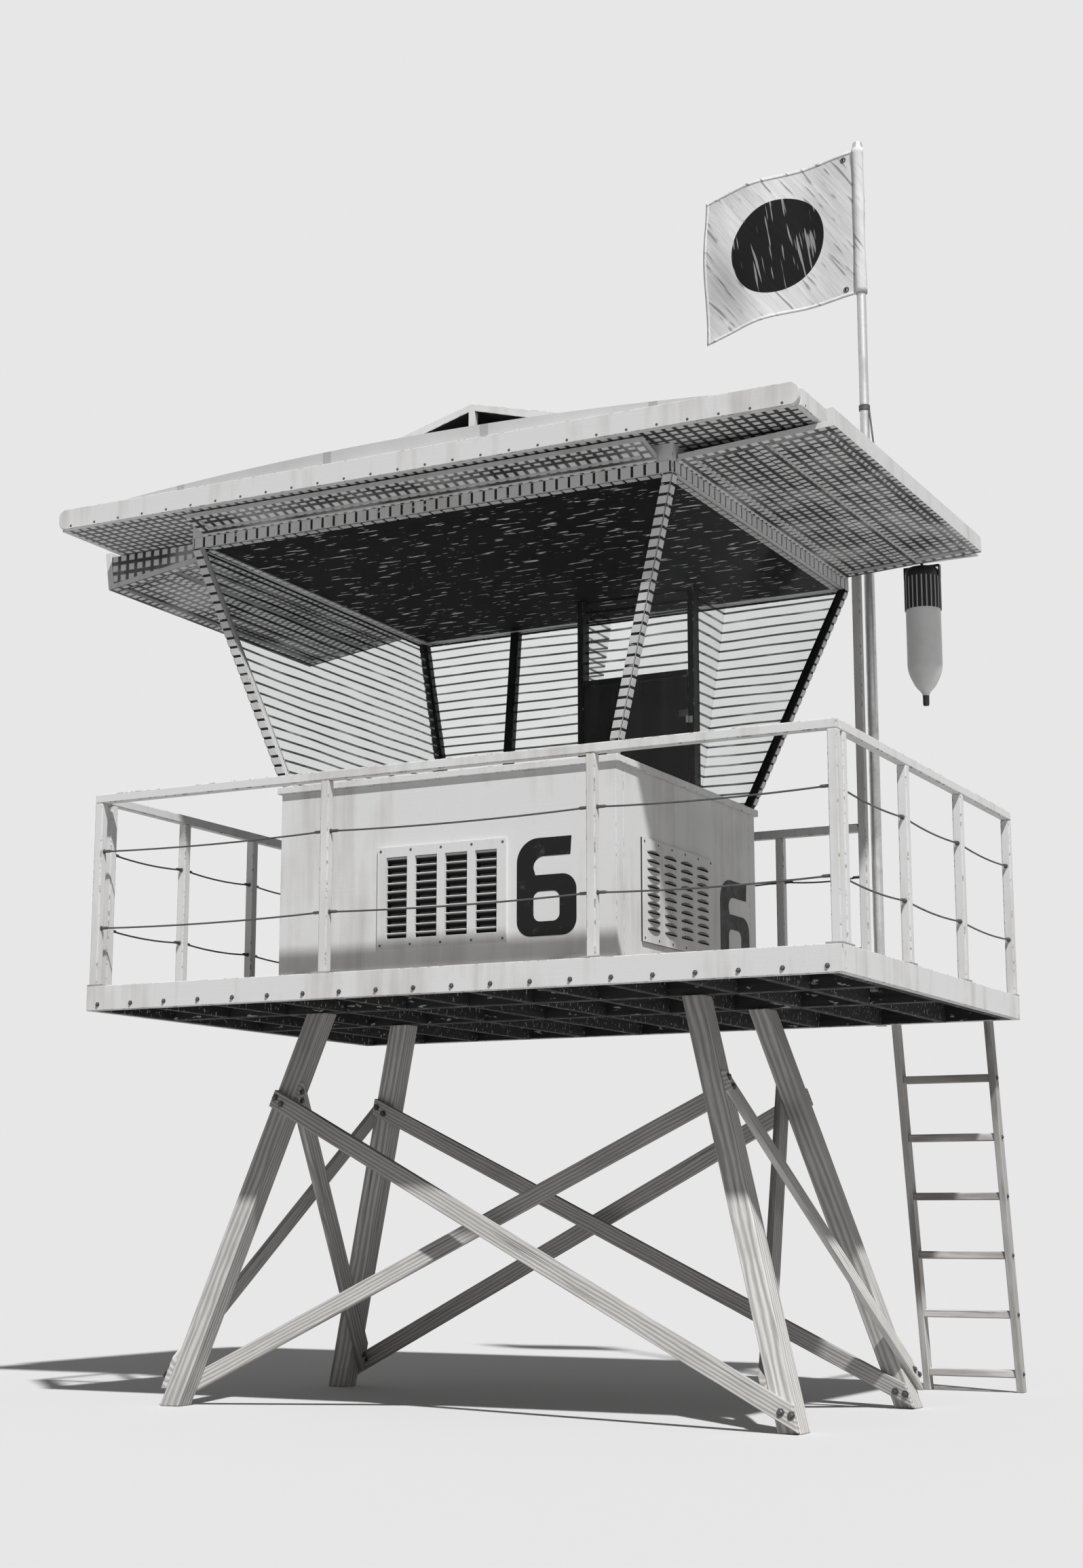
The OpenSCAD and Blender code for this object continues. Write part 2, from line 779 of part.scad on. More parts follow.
// What the crowned roof surface takes away from a piece that stands on it
module crown_cutter() {
    arc = [for (i = [crown_steps : -1 : 0])
           let (t = 2 * i / crown_steps - 1)
           [t * slab_x - hood_right, roof_top + crown * (1 - t * t)]];
    translate([0, hood_d + 10, 0]) rotate([90, 0, 0])
        linear_extrude(hood_d + 20)
            polygon(concat([[-slab_x - hood_right, roof_z], [slab_x - hood_right, roof_z]], arc));
}

// Shutters

// A raised shutter from u0 to u1, with an inner batten, hinged on a head beam that stands
// out by out
module shutter(out, u0, u1, reach, rise, lip, batten) {
    f = shutter_frame;
    skin = shutter_t * 0.45;
    bays = batten > 0 ? [[-reach + barrel_r + f, -batten - f / 2], [-batten + f / 2, -f]]
                      : [[-reach + barrel_r + f * 0.6, -f * 0.6]];
    color("whitesmoke")
        translate([0, -out - barrel_r, hinge_z]) rotate([shutter_tilt(rise, reach), 0, 0]) {
            difference() {
                block([u0, -reach + barrel_r, 0], [u1, 0, shutter_t]);
                for (s = bays)
                    block([u0 + f, s[0], -1], [u1 - f, s[1], shutter_t - skin]);
            }
            if (lip > 0)
                block([u0, -reach + barrel_r, 0], [u1, -reach + barrel_r + lip_t, lip]);
            translate([u0, 0, 0]) rotate([0, 90, 0]) cylinder(r = barrel_r, h = u1 - u0);
        }
}

right_u0 = shutter_in - head_y0;
left_u1 = head_y0 - shutter_left_in;

module shutter_right()
    on_right() shutter(flare_side, right_u0, right_u0 + shutter_len, shutter_reach,
                       rise_right, lip_h, shutter_reach / 2);

module shutter_left()
    on_left() shutter(flare_side, left_u1 - shutter_left_len, left_u1, shutter_reach,
                      rise_left, lip_left_h, shutter_reach / 2);

module shutter_front()
    on_front() shutter(flare_front, -shutter_front_len / 2, shutter_front_len / 2,
                       shutter_front_reach, rise_front, 0, 0);

// Vents

vent_cols = 4;
flange_t = 14;
sleeve_d = 45;
sleeve_t = 6;
slat_t = 4;
slat_w = 44;
slat_tilt = 38;
plate_t = 5;
slot_h = 12;

function col_w(w) = (w - (vent_cols + 1) * vent_strip) / vent_cols;

// Left end of column c in a vent of width w, and height of the middle of row i
function col_x(w, c) = vent_strip + c * (col_w(w) + vent_strip);
function row_z(i) = vent_strip + (i + 0.5) * vent_hole_h / vent_rows;

// The flange on the wall and the sleeve in its hole, from the vent's lower left corner
module vent_body(w) {
    block([0, -flange_t, 0], [w, 0, vent_h]);
    block([vent_strip, 0, vent_strip], [w - vent_strip, sleeve_d, vent_h - vent_strip]);
}

// A vent of columns of slats
module slatted_vent(w) {
    difference() {
        vent_body(w);
        for (c = [0 : vent_cols - 1])
            block([col_x(w, c) + (c == 0 ? sleeve_t : 0), -flange_t - 1, vent_strip + sleeve_t],
                  [col_x(w, c) + col_w(w) - (c == vent_cols - 1 ? sleeve_t : 0), sleeve_d + 1,
                   vent_h - vent_strip - sleeve_t]);
    }
    for (c = [0 : vent_cols - 1])
        for (i = [0 : vent_rows - 1]) {
            u0 = col_x(w, c) + (c == 0 ? sleeve_t : 0) - 1;
            u1 = col_x(w, c) + col_w(w) - (c == vent_cols - 1 ? sleeve_t : 0) + 1;
            translate([u0, sleeve_d / 2 - flange_t / 2, row_z(i)]) rotate([-slat_tilt, 0, 0])
                translate([0, -slat_w / 2, -slat_t / 2]) cube([u1 - u0, slat_w, slat_t]);
        }
}

// A vent whose plate has columns of slots
module punched_vent(w)
    difference() {
        vent_body(w);
        block([vent_strip + sleeve_t, plate_t - flange_t, vent_strip + sleeve_t],
              [w - vent_strip - sleeve_t, sleeve_d + 1, vent_h - vent_strip - sleeve_t]);
        for (c = [0 : vent_cols - 1])
            for (i = [0 : vent_rows - 1])
                translate([col_x(w, c) + sleeve_t, -flange_t - 1, row_z(i) - slot_h / 2])
                    cube([col_w(w) - 2 * sleeve_t, plate_t + 2, slot_h]);
    }

module front_vent()
    color("silver") on_front()
        translate([-vent_left - vent_w / 2, 0, deck_h + vent_up]) slatted_vent(vent_w);

module side_vent()
    color("silver") on_right()
        translate([-vent_forward - vent_side_w / 2, 0, deck_h + vent_up])
            punched_vent(vent_side_w);

// Flagpole and flag

cap_h = 40;
cap_over = 8;
clamp_t = 8;
// Height of each clamp, and of its foot over the rim's or the roof's lower edge
rim_clamp_h = 60;
rim_clamp_up = 40;
roof_clamp_h = 50;
roof_clamp_up = 20;

module flagpole() {
    color("silver") translate([pole_x, pole_y, 0]) {
        translate([0, 0, under_z]) cylinder(r = pole_r, h = pole_joint - under_z);
        translate([0, 0, pole_joint]) cylinder(r = pole_top_r, h = pole_h - cap_h - pole_joint);
        translate([0, 0, pole_h - cap_h])
            cylinder(r1 = pole_top_r + cap_over, r2 = pole_top_r, h = cap_h);
    }
}

// One clamp: a ring around the pole with a block back to what carries it
module pole_clamp(z, h, back) {
    translate([pole_x, pole_y, z])
        difference() {
            union() {
                cylinder(r = pole_r + clamp_t, h = h);
                block([-pole_r, back - pole_y, 0], [pole_r, 0, h]);
            }
            translate([0, 0, -1]) cylinder(r = pole_r + seat, h = h + 2);
        }
}

module pole_clamps() {
    color("dimgray") {
        pole_clamp(under_z + rim_clamp_up, rim_clamp_h, deck_y);
        pole_clamp(roof_z + roof_clamp_up, roof_clamp_h, roof_y1);
    }
}

// Distance of the flag's head below the pole's top, and its run as a share of its width
flag_drop = 42;
flag_gather = 0.965;
flag_z1 = pole_h - flag_drop;
flag_x0 = pole_x - pole_top_r - seat;
flag_run = flag_w * flag_gather;
flag_steps = 24;

wave_turn = 400;
// How fast the waves grow from the hoist
wave_start = 3;
// Droop of the foot and of the head halfway out, as shares of the free edge's droop
foot_droop = 0.72;
head_droop = 0.3;
// What the cutters reach past the cloth
flag_spare = 100;

function wave_y(t) = flag_wave * sin(t * wave_turn) * min(1, t * wave_start);

module flag() {
    near = [for (i = [0 : flag_steps])
            let (t = i / flag_steps) [-t * flag_run, wave_y(t) - flag_t / 2]];
    far = [for (p = near) [p[0], p[1] + flag_t]];
    rows = [for (i = [0 : flag_steps]) far[flag_steps - i]];
    z0 = flag_z1 - flag_h;
    color("whitesmoke")
        translate([flag_x0, pole_y, 0])
            intersection() {
                translate([0, 0, z0 - flag_droop - flag_spare])
                    linear_extrude(flag_h + flag_droop + 2 * flag_spare)
                        polygon(concat(near, rows));
                translate([0, flag_spare, 0]) rotate([90, 0, 0])
                    linear_extrude(2 * flag_spare)
                        polygon([[1, flag_z1], [1, z0],
                                 [-flag_run / 2, z0 - flag_droop * foot_droop],
                                 [-flag_run - 1, z0 - flag_droop],
                                 [-flag_run - 1, flag_z1 - flag_droop],
                                 [-flag_run / 2, flag_z1 - flag_droop * head_droop]]);
            }
}

// Rescue can

nose_len = 120;
strap_t = 5.7;
strap_drop = 65;
web_w = 40;
hook_r = 9;
can_drop = 52;
can_x = pole_x + can_right;
can_y = roof_y1 - can_in;
can_z1 = roof_z - can_drop;
can_z0 = can_z1 - can_len;
strap_h = can_len * 0.27;
// Radii of the can's spout at its tip and along it, and where the nose widens
tip_r = 16;
spout_r = 20;
cone_r = 34;
tip_h = 20;
// The can's shoulders: share of its radius, and distance from its lower or upper end
low_shoulder = [[0.62, 10], [0.85, 60], [1, 140]];
top_shoulder = [[1, 60], [0.93, 15], [0.75, 0]];

module rescue_can() {
    nose = [[0, -nose_len], [tip_r, 2 - nose_len], [spout_r, tip_h - nose_len],
            [spout_r, -nose_len / 2], [cone_r, -nose_len / 4]];
    body = [for (p = low_shoulder) [can_r * p[0], p[1]]];
    top = [for (p = top_shoulder) [can_r * p[0], can_len - p[1]]];
    color("white") translate([can_x, can_y, can_z0])
        rotate_extrude() polygon(concat(nose, body, top, [[0, can_len]]));
}

module can_strap() {
    ring_r = can_r + seat + strap_t;
    top = can_z1 + 2 * strap_t;
    z1 = can_z1 - strap_drop;
    color("black") translate([can_x, can_y, 0]) {
        translate([0, 0, z1 - strap_h])
            difference() {
                cylinder(r = ring_r, h = strap_h);
                translate([0, 0, -1]) cylinder(r = can_r + seat, h = strap_h + 2);
            }
        for (s = [-1, 1])
            translate([s * (ring_r - strap_t / 2), 0, 0])
                block([-strap_t / 2, -web_w / 2, z1 - 1], [strap_t / 2, web_w / 2, top]);
        block([-ring_r, -web_w / 2, top - strap_t], [ring_r, web_w / 2, top]);
        translate([0, 0, top - 1]) cylinder(r = hook_r, h = roof_z - top + 1);
    }
}

// Door

leaf_u0 = door_c - door_w / 2 + door_gap;
leaf_u1 = door_c + door_w / 2 - door_gap;
hinge_u = door_c - door_w / 2 + door_gap / 2;
hinge_stand = 3;
hinge_y = wall_t + knuckle_r + hinge_stand;
knuckle_h = 42;
leaf_plate = 3;
// Reach of a hinge plate on the door and on the jamb, and its distance from the pin's line
door_plate_w = 60;
jamb_plate_w = 32;
plate_in = 1.5;
hinge_low = 220;
hinge_top = 300;
hinge_zs = [deck_h + hinge_low, deck_h + door_h / 2, deck_h + door_h - hinge_top];
// Height of the door's bottom rail, and heights of its lock rail's middle and of the lever
kick_h = 170;
lock_h = 945;
lever_h = 1010;
rose_r = 24;
rose_t = 8;
lever_r = 9;
lever_len = 110;
lever_out = 45;

module door_leaf() {
    z0 = deck_h + 2 * door_gap;
    z1 = deck_h + door_h - door_gap;
    color("gray") on_rear()
        difference() {
            block([leaf_u0, wall_t - leaf_t, z0], [leaf_u1, wall_t, z1]);
            for (p = [[z0 + kick_h, deck_h + lock_h - door_frame / 2],
                      [deck_h + lock_h + door_frame / 2, z1 - door_frame]])
                block([leaf_u0 + door_frame, wall_t - leaf_t - 1, p[0]],
                      [leaf_u1 - door_frame, wall_t - leaf_t + panel_sink, p[1]]);
        }
}

// Half of a lift-off hinge: a knuckle and a leaf plate that lies on the wood at side s
module hinge_half(z, s, bored) {
    translate([hinge_u, hinge_y, z])
        difference() {
            union() {
                cylinder(r = knuckle_r, h = knuckle_h);
                translate([0, -knuckle_r - hinge_stand, 0]) {
                    block([s > 0 ? plate_in : -jamb_plate_w, 0, 0],
                          [s > 0 ? door_plate_w : -plate_in, leaf_plate, knuckle_h]);
                    block([s > 0 ? plate_in : -plate_in - leaf_plate, 0, 0],
                          [s > 0 ? plate_in + leaf_plate : -plate_in, knuckle_r + hinge_stand,
                           knuckle_h]);
                }
            }
            if (bored)
                translate([0, 0, -1]) cylinder(r = pin_r + pin_clear, h = knuckle_h + 2);
        }
}

module door_hardware() {
    color("silver") on_rear() {
        for (h = hinge_zs)
            hinge_half(h + knuckle_h + 1, 1, true);
        translate([leaf_u1 - door_frame / 2, 0, deck_h + lever_h]) {
            translate([0, wall_t, 0]) lever();
            translate([0, wall_t - leaf_t, 0]) mirror([0, 1, 0]) lever();
        }
    }
}

// A lever handle that stands out along +Y from its round rose
module lever() {
    rotate([-90, 0, 0]) cylinder(r = rose_r, h = rose_t);
    rotate([-90, 0, 0]) cylinder(r = lever_r, h = lever_out);
    block([-lever_len, lever_out - lever_r, -lever_r], [lever_r, lever_out + lever_r * 0.8, lever_r]);
}

module frame_hinges() {
    color("silver") on_rear()
        for (h = hinge_zs) {
            hinge_half(h, -1, false);
            translate([hinge_u, hinge_y, h + knuckle_h - 1]) cylinder(r = pin_r, h = knuckle_h);
        }
}

// Every piece, moved so that the tower's box is centred

module place() translate(shift) children();

place() leg(-1, -1);  // leg_front_left
place() leg(1, -1);  // leg_front_right
place() leg(-1, 1);  // leg_rear_left
place() leg(1, 1);  // leg_rear_right
place() braces_front();
place() braces_rear();
place() braces_left();
place() braces_right();
place() deck_girders();
place() deck_joists();
place() deck_floor();
place() deck_rims();
place() ladder_stiles();
place() ladder_rungs();
place() rail_posts();
place() top_rails();
place() rail_cables();
place() front_wall();
place() left_wall();
place() right_wall();
place() rear_wall();
place() window_sills();
place() corner_posts();
place() rear_posts();
place() door_head();
place() window_glass();
place() head_beams();
place() ceiling();
place() roof_deck();
place() roof_fascia_front();
place() roof_edges();
place() roof_vent();
place() shutter_front();
place() shutter_left();
place() shutter_right();
place() front_vent();
place() side_vent();
place() flagpole();
place() pole_clamps();
place() flag();
place() rescue_can();
place() can_strap();
place() door_leaf();
place() door_hardware();
place() frame_hinges();
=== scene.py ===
import itertools
import math
import random

import bmesh
import bpy
import numpy as np
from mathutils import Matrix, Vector


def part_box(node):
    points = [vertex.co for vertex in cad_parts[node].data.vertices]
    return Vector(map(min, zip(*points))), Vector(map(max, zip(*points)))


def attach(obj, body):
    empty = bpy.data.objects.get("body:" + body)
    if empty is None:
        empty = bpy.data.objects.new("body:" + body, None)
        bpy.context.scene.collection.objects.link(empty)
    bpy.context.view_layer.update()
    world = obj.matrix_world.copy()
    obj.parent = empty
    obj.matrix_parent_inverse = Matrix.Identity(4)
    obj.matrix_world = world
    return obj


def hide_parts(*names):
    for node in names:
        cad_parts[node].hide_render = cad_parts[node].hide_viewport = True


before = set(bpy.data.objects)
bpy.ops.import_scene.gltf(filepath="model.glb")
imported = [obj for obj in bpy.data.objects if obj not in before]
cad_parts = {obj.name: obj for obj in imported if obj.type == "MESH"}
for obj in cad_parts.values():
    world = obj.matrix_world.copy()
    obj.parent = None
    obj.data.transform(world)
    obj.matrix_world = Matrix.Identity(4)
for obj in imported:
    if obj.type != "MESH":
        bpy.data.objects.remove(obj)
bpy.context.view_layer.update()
random.seed(6)

# Metres throughout, Z up. The front of the tower faces -Y.
X = Vector((1, 0, 0))
Y = Vector((0, 1, 0))
Z = Vector((0, 0, 1))
WELD = 0.00002
FLAT = math.radians(0.2)
SHARP = math.radians(32)

# Camera, matched to the picture's view from below
CAMERA_FROM_DECK = Vector((5.995, -11.785, 1.004))
CAMERA_TILT = math.radians(100.765)
CAMERA_TURN = math.radians(27.505)
CAMERA_LENS = 52.65
CAMERA_SENSOR = 36

# Light: a key from high on the front right, and an even surround
KEY_FROM = Vector((0.5, -0.5, 1.05))
KEY_STRENGTH = 4.2
KEY_ANGLE = math.radians(2)
SURROUND = 0.12
BACKGROUND = 0.8
WHITE = (1, 1, 1, 1)
FLOOR_HALF = 60
FADE_START = 9
FADE_END = 24


def middle(node):
    """The middle of a CAD node's box."""
    low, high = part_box(node)
    return (low + high) / 2


def put(name, data):
    """Puts a new object with this data into the scene."""
    thing = bpy.data.objects.new(name, data)
    bpy.context.scene.collection.objects.link(thing)
    return thing


def place_camera():
    data = bpy.data.cameras.new("camera")
    data.lens = CAMERA_LENS
    data.sensor_width = CAMERA_SENSOR
    camera = put("camera", data)
    deck = middle("deck_rims")
    camera.location = Vector((deck.x, deck.y, 0)) + CAMERA_FROM_DECK
    camera.rotation_euler = (CAMERA_TILT, 0, CAMERA_TURN)
    bpy.context.scene.camera = camera


place_camera()


# Shader helpers

SAND_BLUE = 1.4


def grey(level, warmth=0.0):
    """A linear colour near a neutral grey; warmth moves it towards sand."""
    return (level * (1 + warmth), level, level * (1 - SAND_BLUE * warmth), 1)


class Nodes:
    """A node tree, built by short calls that return sockets."""

    def __init__(self, tree, output):
        self.nodes = tree.nodes
        self.links = tree.links
        self.out = self.nodes[output]

    def feed(self, target, source):
        if isinstance(source, bpy.types.NodeSocket):
            self.links.new(source, target)
        else:
            target.default_value = source

    def add(self, kind, inputs=None, **settings):
        """A new node with its settings, and a value or a socket for each input named."""
        node = self.nodes.new("ShaderNode" + kind)
        for setting, value in settings.items():
            setattr(node, setting, value)
        for place, source in (inputs or {}).items():
            self.feed(node.inputs[place], source)
        return node

    def normal(self):
        return self.add("NewGeometry").outputs["Normal"]

    def attribute(self, name, output="Vector"):
        return self.add("Attribute", attribute_name=name).outputs[output]

    def stretched(self, vector, scale, turn=(0, 0, 0)):
        node = self.add("Mapping", {"Vector": vector, "Scale": scale, "Rotation": turn})
        return node.outputs["Vector"]

    def noise(self, vector, scale, detail=4, roughness=0.6):
        inputs = {"Vector": vector, "Scale": scale, "Detail": detail, "Roughness": roughness}
        return self.add("TexNoise", inputs).outputs["Fac"]

    def grain(self, vector, scale, detail=4, roughness=0.6, turn=(0, 0, 0)):
        """Noise with a scale of its own on each axis."""
        return self.noise(self.stretched(vector, scale, turn), 1, detail, roughness)

    def wave(self, vector, scale, direction, distortion=0.0, detail=2.0):
        inputs = {"Vector": vector, "Scale": scale, "Distortion": distortion, "Detail": detail}
        return self.add("TexWave", inputs, bands_direction=direction).outputs["Fac"]

    def part(self, vector, axis):
        return self.add("SeparateXYZ", {0: vector}).outputs[axis]

    def maths(self, operation, a, b=0.0, clamp=False):
        return self.add("Math", {0: a, 1: b}, operation=operation, use_clamp=clamp).outputs[0]

    def plus(self, a, b):
        return self.maths("ADD", a, b)

    def minus(self, a, b):
        return self.maths("SUBTRACT", a, b)

    def times(self, a, b):
        return self.maths("MULTIPLY", a, b)

    def offset(self, value):
        """How far a value lies from the middle between two whole numbers."""
        return self.maths("ABSOLUTE", self.minus(self.maths("FRACT", value), 0.5))

    def range(self, value, low, high, to_low=0.0, to_high=1.0):
        inputs = {"Value": value, "From Min": low, "From Max": high, "To Min": to_low, "To Max": to_high}
        return self.add("MapRange", inputs, interpolation_type="SMOOTHSTEP").outputs["Result"]

    def ramp(self, factor, stops):
        node = self.add("ValToRGB", {"Fac": factor})
        elements = node.color_ramp.elements
        for element, stop in zip(elements, (stops[0], stops[-1])):
            element.position, element.color = stop
        for place, colour in stops[1:-1]:
            elements.new(place).color = colour
        return node.outputs["Color"]

    def mix(self, factor, a, b, blend="MIX"):
        node = self.add("Mix", {0: factor}, data_type="RGBA", blend_type=blend)
        self.feed(node.inputs[6], a)
        self.feed(node.inputs[7], b)
        return node.outputs[2]

    def bump(self, height, strength, distance, after=None):
        inputs = {"Strength": strength, "Distance": distance, "Height": height}
        if after is not None:
            inputs["Normal"] = after
        return self.add("Bump", inputs).outputs["Normal"]

    def blend(self, factor, first, second):
        """Mixes two shaders into the output."""
        mixed = self.add("MixShader", {0: factor, 1: first.outputs[0], 2: second.outputs[0]})
        self.feed(self.out.inputs["Surface"], mixed.outputs[0])


class Shader(Nodes):
    """A material's node tree round its one surface shader."""

    def __init__(self, name, specular=0.5):
        self.material = bpy.data.materials.new(name)
        self.material.use_nodes = True
        super().__init__(self.material.node_tree, "Material Output")
        self.surface = self.nodes["Principled BSDF"]
        self.surface.inputs["Specular IOR Level"].default_value = specular
        self.place = self.add("TexCoord").outputs["Object"]

    def finish(self, colour, roughness, normal=None, metallic=0.0):
        self.feed(self.surface.inputs["Base Color"], colour)
        self.feed(self.surface.inputs["Roughness"], roughness)
        self.surface.inputs["Metallic"].default_value = metallic
        if normal is not None:
            self.feed(self.surface.inputs["Normal"], normal)
        return self.material


# Materials: timber and paint

def facing_down(s):
    """1 on undersides."""
    return s.range(s.part(s.normal(), 2), -0.6, -0.8)


def painted_shade_black(s, board):
    """Near-black over grain, painted shade for the boards under the deck, with pale dashes that are painted
    highlights.
    """
    grain = s.grain(board, (2, 40, 40), 5)
    flecks = s.grain(s.place, (9, 70, 30), 3, turn=(0, 0, 0.5))
    highlight_dashes = s.range(flecks, 0.62, 0.66, 0, 0.85)
    colour = s.mix(s.range(grain, 0.3, 0.7), grey(0.01), grey(0.026))
    return s.mix(highlight_dashes, colour, grey(0.6)), grain


# Boards painted near-black all over as shade: the deck's frame, the rims' inner faces and the cover plates'
# backing
def shade_black_boards(name):
    s = Shader(name)
    colour, grain = painted_shade_black(s, s.attribute("board"))
    return s.finish(colour, 0.85, s.bump(grain, 0.3, 0.001))


def timber(name, dark, pale, warmth, shade_black_below=False):
    """Bare boards gone grey in the sun, with open grain, each in a tone of its own."""
    s = Shader(name)
    board = s.attribute("board")
    rings = s.wave(s.stretched(board, (0.14, 1, 1)), 16, "Y", 5, 3)
    fibres = s.grain(board, (4, 110, 110), 5)
    grain = s.plus(s.times(rings, 0.5), s.times(fibres, 0.5))
    colour = s.ramp(grain, [(0.22, grey(dark, warmth)), (0.5, grey((dark + pale) / 2, warmth)),
                            (0.78, grey(pale, warmth * 0.6))])
    tone = s.range(s.attribute("tone", "Fac"), 0, 1, 0.82, 1.08)
    colour = s.mix(1, colour, tone, "MULTIPLY")
    patches = s.noise(s.place, 1.7, 5)
    colour = s.mix(s.range(patches, 0.45, 0.75, 0, 0.35), colour, grey(dark * 0.8, warmth))
    splits = s.range(s.grain(board, (1.2, 60, 60), 2), 0.3, 0.36, 1, 0)
    colour = s.mix(s.times(splits, 0.65), colour, grey(dark * 0.3))
    height = s.minus(grain, s.times(splits, 0.8))
    # Undersides painted near-black as shade, with pale dashes as painted highlights
    if shade_black_below:
        colour = s.mix(facing_down(s), colour, painted_shade_black(s, board)[0])
    return s.finish(colour, s.range(grain, 0, 1, 0.92, 0.7), s.bump(height, 0.5, 0.002))


def paint_colour(s, clean, dirty):
    """Weathered paint: rain streaks, patches and fine dirt."""
    streaks = s.grain(s.place, (9, 9, 0.7), 5)
    patches = s.noise(s.place, 1.1, 4)
    specks = s.noise(s.place, 70, 3)
    wear = s.plus(s.times(streaks, 0.5), s.times(patches, 0.5))
    colour = s.ramp(wear, [(0.3, dirty), (0.5, clean)])
    return s.mix(s.range(specks, 0.62, 0.75, 0, 0.3), colour, dirty)


def painted(name, clean, dirty, chips=0.0, specular=0.5):
    """Brushed paint on boards. With chips, bare wood shows where it has flaked."""
    s = Shader(name, specular)
    board = s.attribute("board")
    colour = paint_colour(s, clean, dirty)
    strokes = s.grain(board, (2.5, 150, 150), 3)
    height = s.plus(strokes, s.times(s.noise(s.place, 160, 2), 0.5))
    roughness = s.range(s.noise(s.place, 3.2, 4), 0.3, 0.7, 0.42, 0.62)
    if chips > 0:
        mask = s.range(s.noise(s.place, 24, 6, 0.75), 0.5 + chips, 0.52 + chips)
        wood = s.mix(s.grain(board, (4, 90, 90)), grey(0.2, 0.12), grey(0.42, 0.1))
        colour = s.mix(mask, colour, wood)
        height = s.minus(height, s.times(mask, 2))
        roughness = s.plus(roughness, s.times(mask, 0.3))
    return s.finish(colour, roughness, s.bump(height, 0.25, 0.0015))


# Materials: boards scored with a square grid, whose dark lines are painted hatching shade

GRID_PITCH = 0.062
GRID_LINE = 0.016
GROOVE = 3.0


def scored(s, patches, tones, wear=((0.35, 0.7), (0.3, 0.6, 0.6, 1)), axes=(0, 1)):
    """Pale boards with a dark grid along two axes, real grooves darkened as painted hatching shade: their
    colour, and 1 on the grid's lines.
    """
    edge = (0.5 - GRID_LINE / GRID_PITCH, 0.5 - GRID_LINE / GRID_PITCH / 2)
    hatch_lines = s.maths("MAXIMUM", *[
        s.range(s.offset(s.maths("DIVIDE", s.part(s.place, axis), GRID_PITCH)), *edge) for axis in axes])
    face = s.mix(s.range(patches, *wear[0]), *tones)
    return s.mix(s.times(hatch_lines, s.range(patches, *wear[1])), face, grey(0.02)), hatch_lines


def scored_below(s, above, below, hatch_lines, relief, roughness, *bump):
    """Finishes a slab with one colour above, and below a scored one with its grooves, painted hatching shade
    on undersides only.
    """
    is_under = facing_down(s)
    height = s.minus(relief, s.times(s.times(hatch_lines, is_under), GROOVE))
    return s.finish(s.mix(is_under, above, below), roughness, s.bump(height, *bump))


def shutter_paint(name):
    s = Shader(name)
    patches = s.noise(s.place, 2.4, 5)
    above = paint_colour(s, grey(0.68), grey(0.46, 0.04))
    # Painted light: the underside is paler than the top to offset its shade
    below = scored(s, patches, (grey(0.84), grey(0.6552)))
    return scored_below(s, above, *below, s.noise(s.place, 90, 3), s.range(patches, 0, 1, 0.5, 0.75),
                        0.4, 0.0015)


def scored_boards(name):
    """Pale upright boards scored with the shutters' grid, its lines painted hatching shade."""
    s = Shader(name)
    patches = s.noise(s.place, 2.4, 5)
    colour, hatch_lines = scored(s, patches, (grey(0.8), grey(0.62)), axes=(0, 2))
    height = s.minus(s.noise(s.place, 90, 3), s.times(hatch_lines, GROOVE))
    return s.finish(colour, 0.65, s.bump(height, 0.4, 0.0015))


def roof_membrane(name):
    """Pale mineral felt in sheets with lapped seams, and soffit boards below with a grid of painted hatching
    shade.
    """
    s = Shader(name)
    patches = s.noise(s.place, 0.9, 5)
    grit = s.noise(s.place, 260, 2)
    above = s.ramp(patches, [(0.3, grey(0.52)), (0.65, grey(0.7))])
    above = s.mix(s.range(grit, 0.4, 0.65, 0, 0.4), above, grey(0.46))
    lap = s.range(s.offset(s.part(s.place, 0)), 0.03, 0.022)
    above = s.mix(s.times(lap, 0.5), above, grey(0.26))
    below = scored(s, patches, (grey(0.82), grey(0.66)), ((0.3, 0.7), (0.25, 0.6, 0.75, 1)))
    return scored_below(s, above, *below, s.plus(grit, lap), 0.85, 0.5, 0.002)


def ceiling_board(name):
    """The boards over the cab, painted black as shade, with pale dashes that are painted highlights."""
    s = Shader(name, 0.08)
    grain = s.grain(s.place, (2, 40, 40), 5)
    highlight_dashes = s.range(s.grain(s.place, (7, 34, 1), 2), 0.63, 0.66)
    colour = s.mix(s.range(grain, 0.3, 0.7), grey(0.006), grey(0.014))
    colour = s.mix(s.times(highlight_dashes, 0.9), colour, grey(0.8))
    return s.finish(colour, 0.75, s.bump(grain, 0.3, 0.001))


# Materials: metal, glass and plastic

def metal(name, level, roughness, spangle):
    """Galvanised or plain metal with a faint crystal pattern and dull patches."""
    s = Shader(name)
    cells = s.add("TexVoronoi", {"Vector": s.place, "Scale": spangle})
    crystals = s.part(cells.outputs["Color"], 0)
    patches = s.noise(s.place, 6, 5)
    colour = s.mix(s.times(crystals, 0.35), grey(level), grey(level * 0.72))
    colour = s.mix(s.range(patches, 0.5, 0.75, 0, 0.5), colour, grey(level * 0.5, 0.05))
    rough = s.plus(s.range(patches, 0.3, 0.7, roughness - 0.1, roughness + 0.15),
                   s.times(crystals, 0.05))
    return s.finish(colour, rough, s.bump(s.noise(s.place, 220, 2), 0.15, 0.0006), 0.85)


def louvre(name, axis, inner, outer):
    """Weathered painted sheet whose recesses, from outer to inner along an axis, are painted black as shade.
    """
    s = Shader(name)
    colour = paint_colour(s, grey(0.72), grey(0.48, 0.03))
    colour = s.mix(s.range(s.part(s.place, axis), outer, inner), colour, grey(0.012))
    return s.finish(colour, 0.55, s.bump(s.noise(s.place, 160, 3), 0.15, 0.0008))


GLASS_LINE_PITCH = 0.066
GLASS_REACH = 0.55
GLASS_TINT = (0.984, 0.988, 0.987, 1)


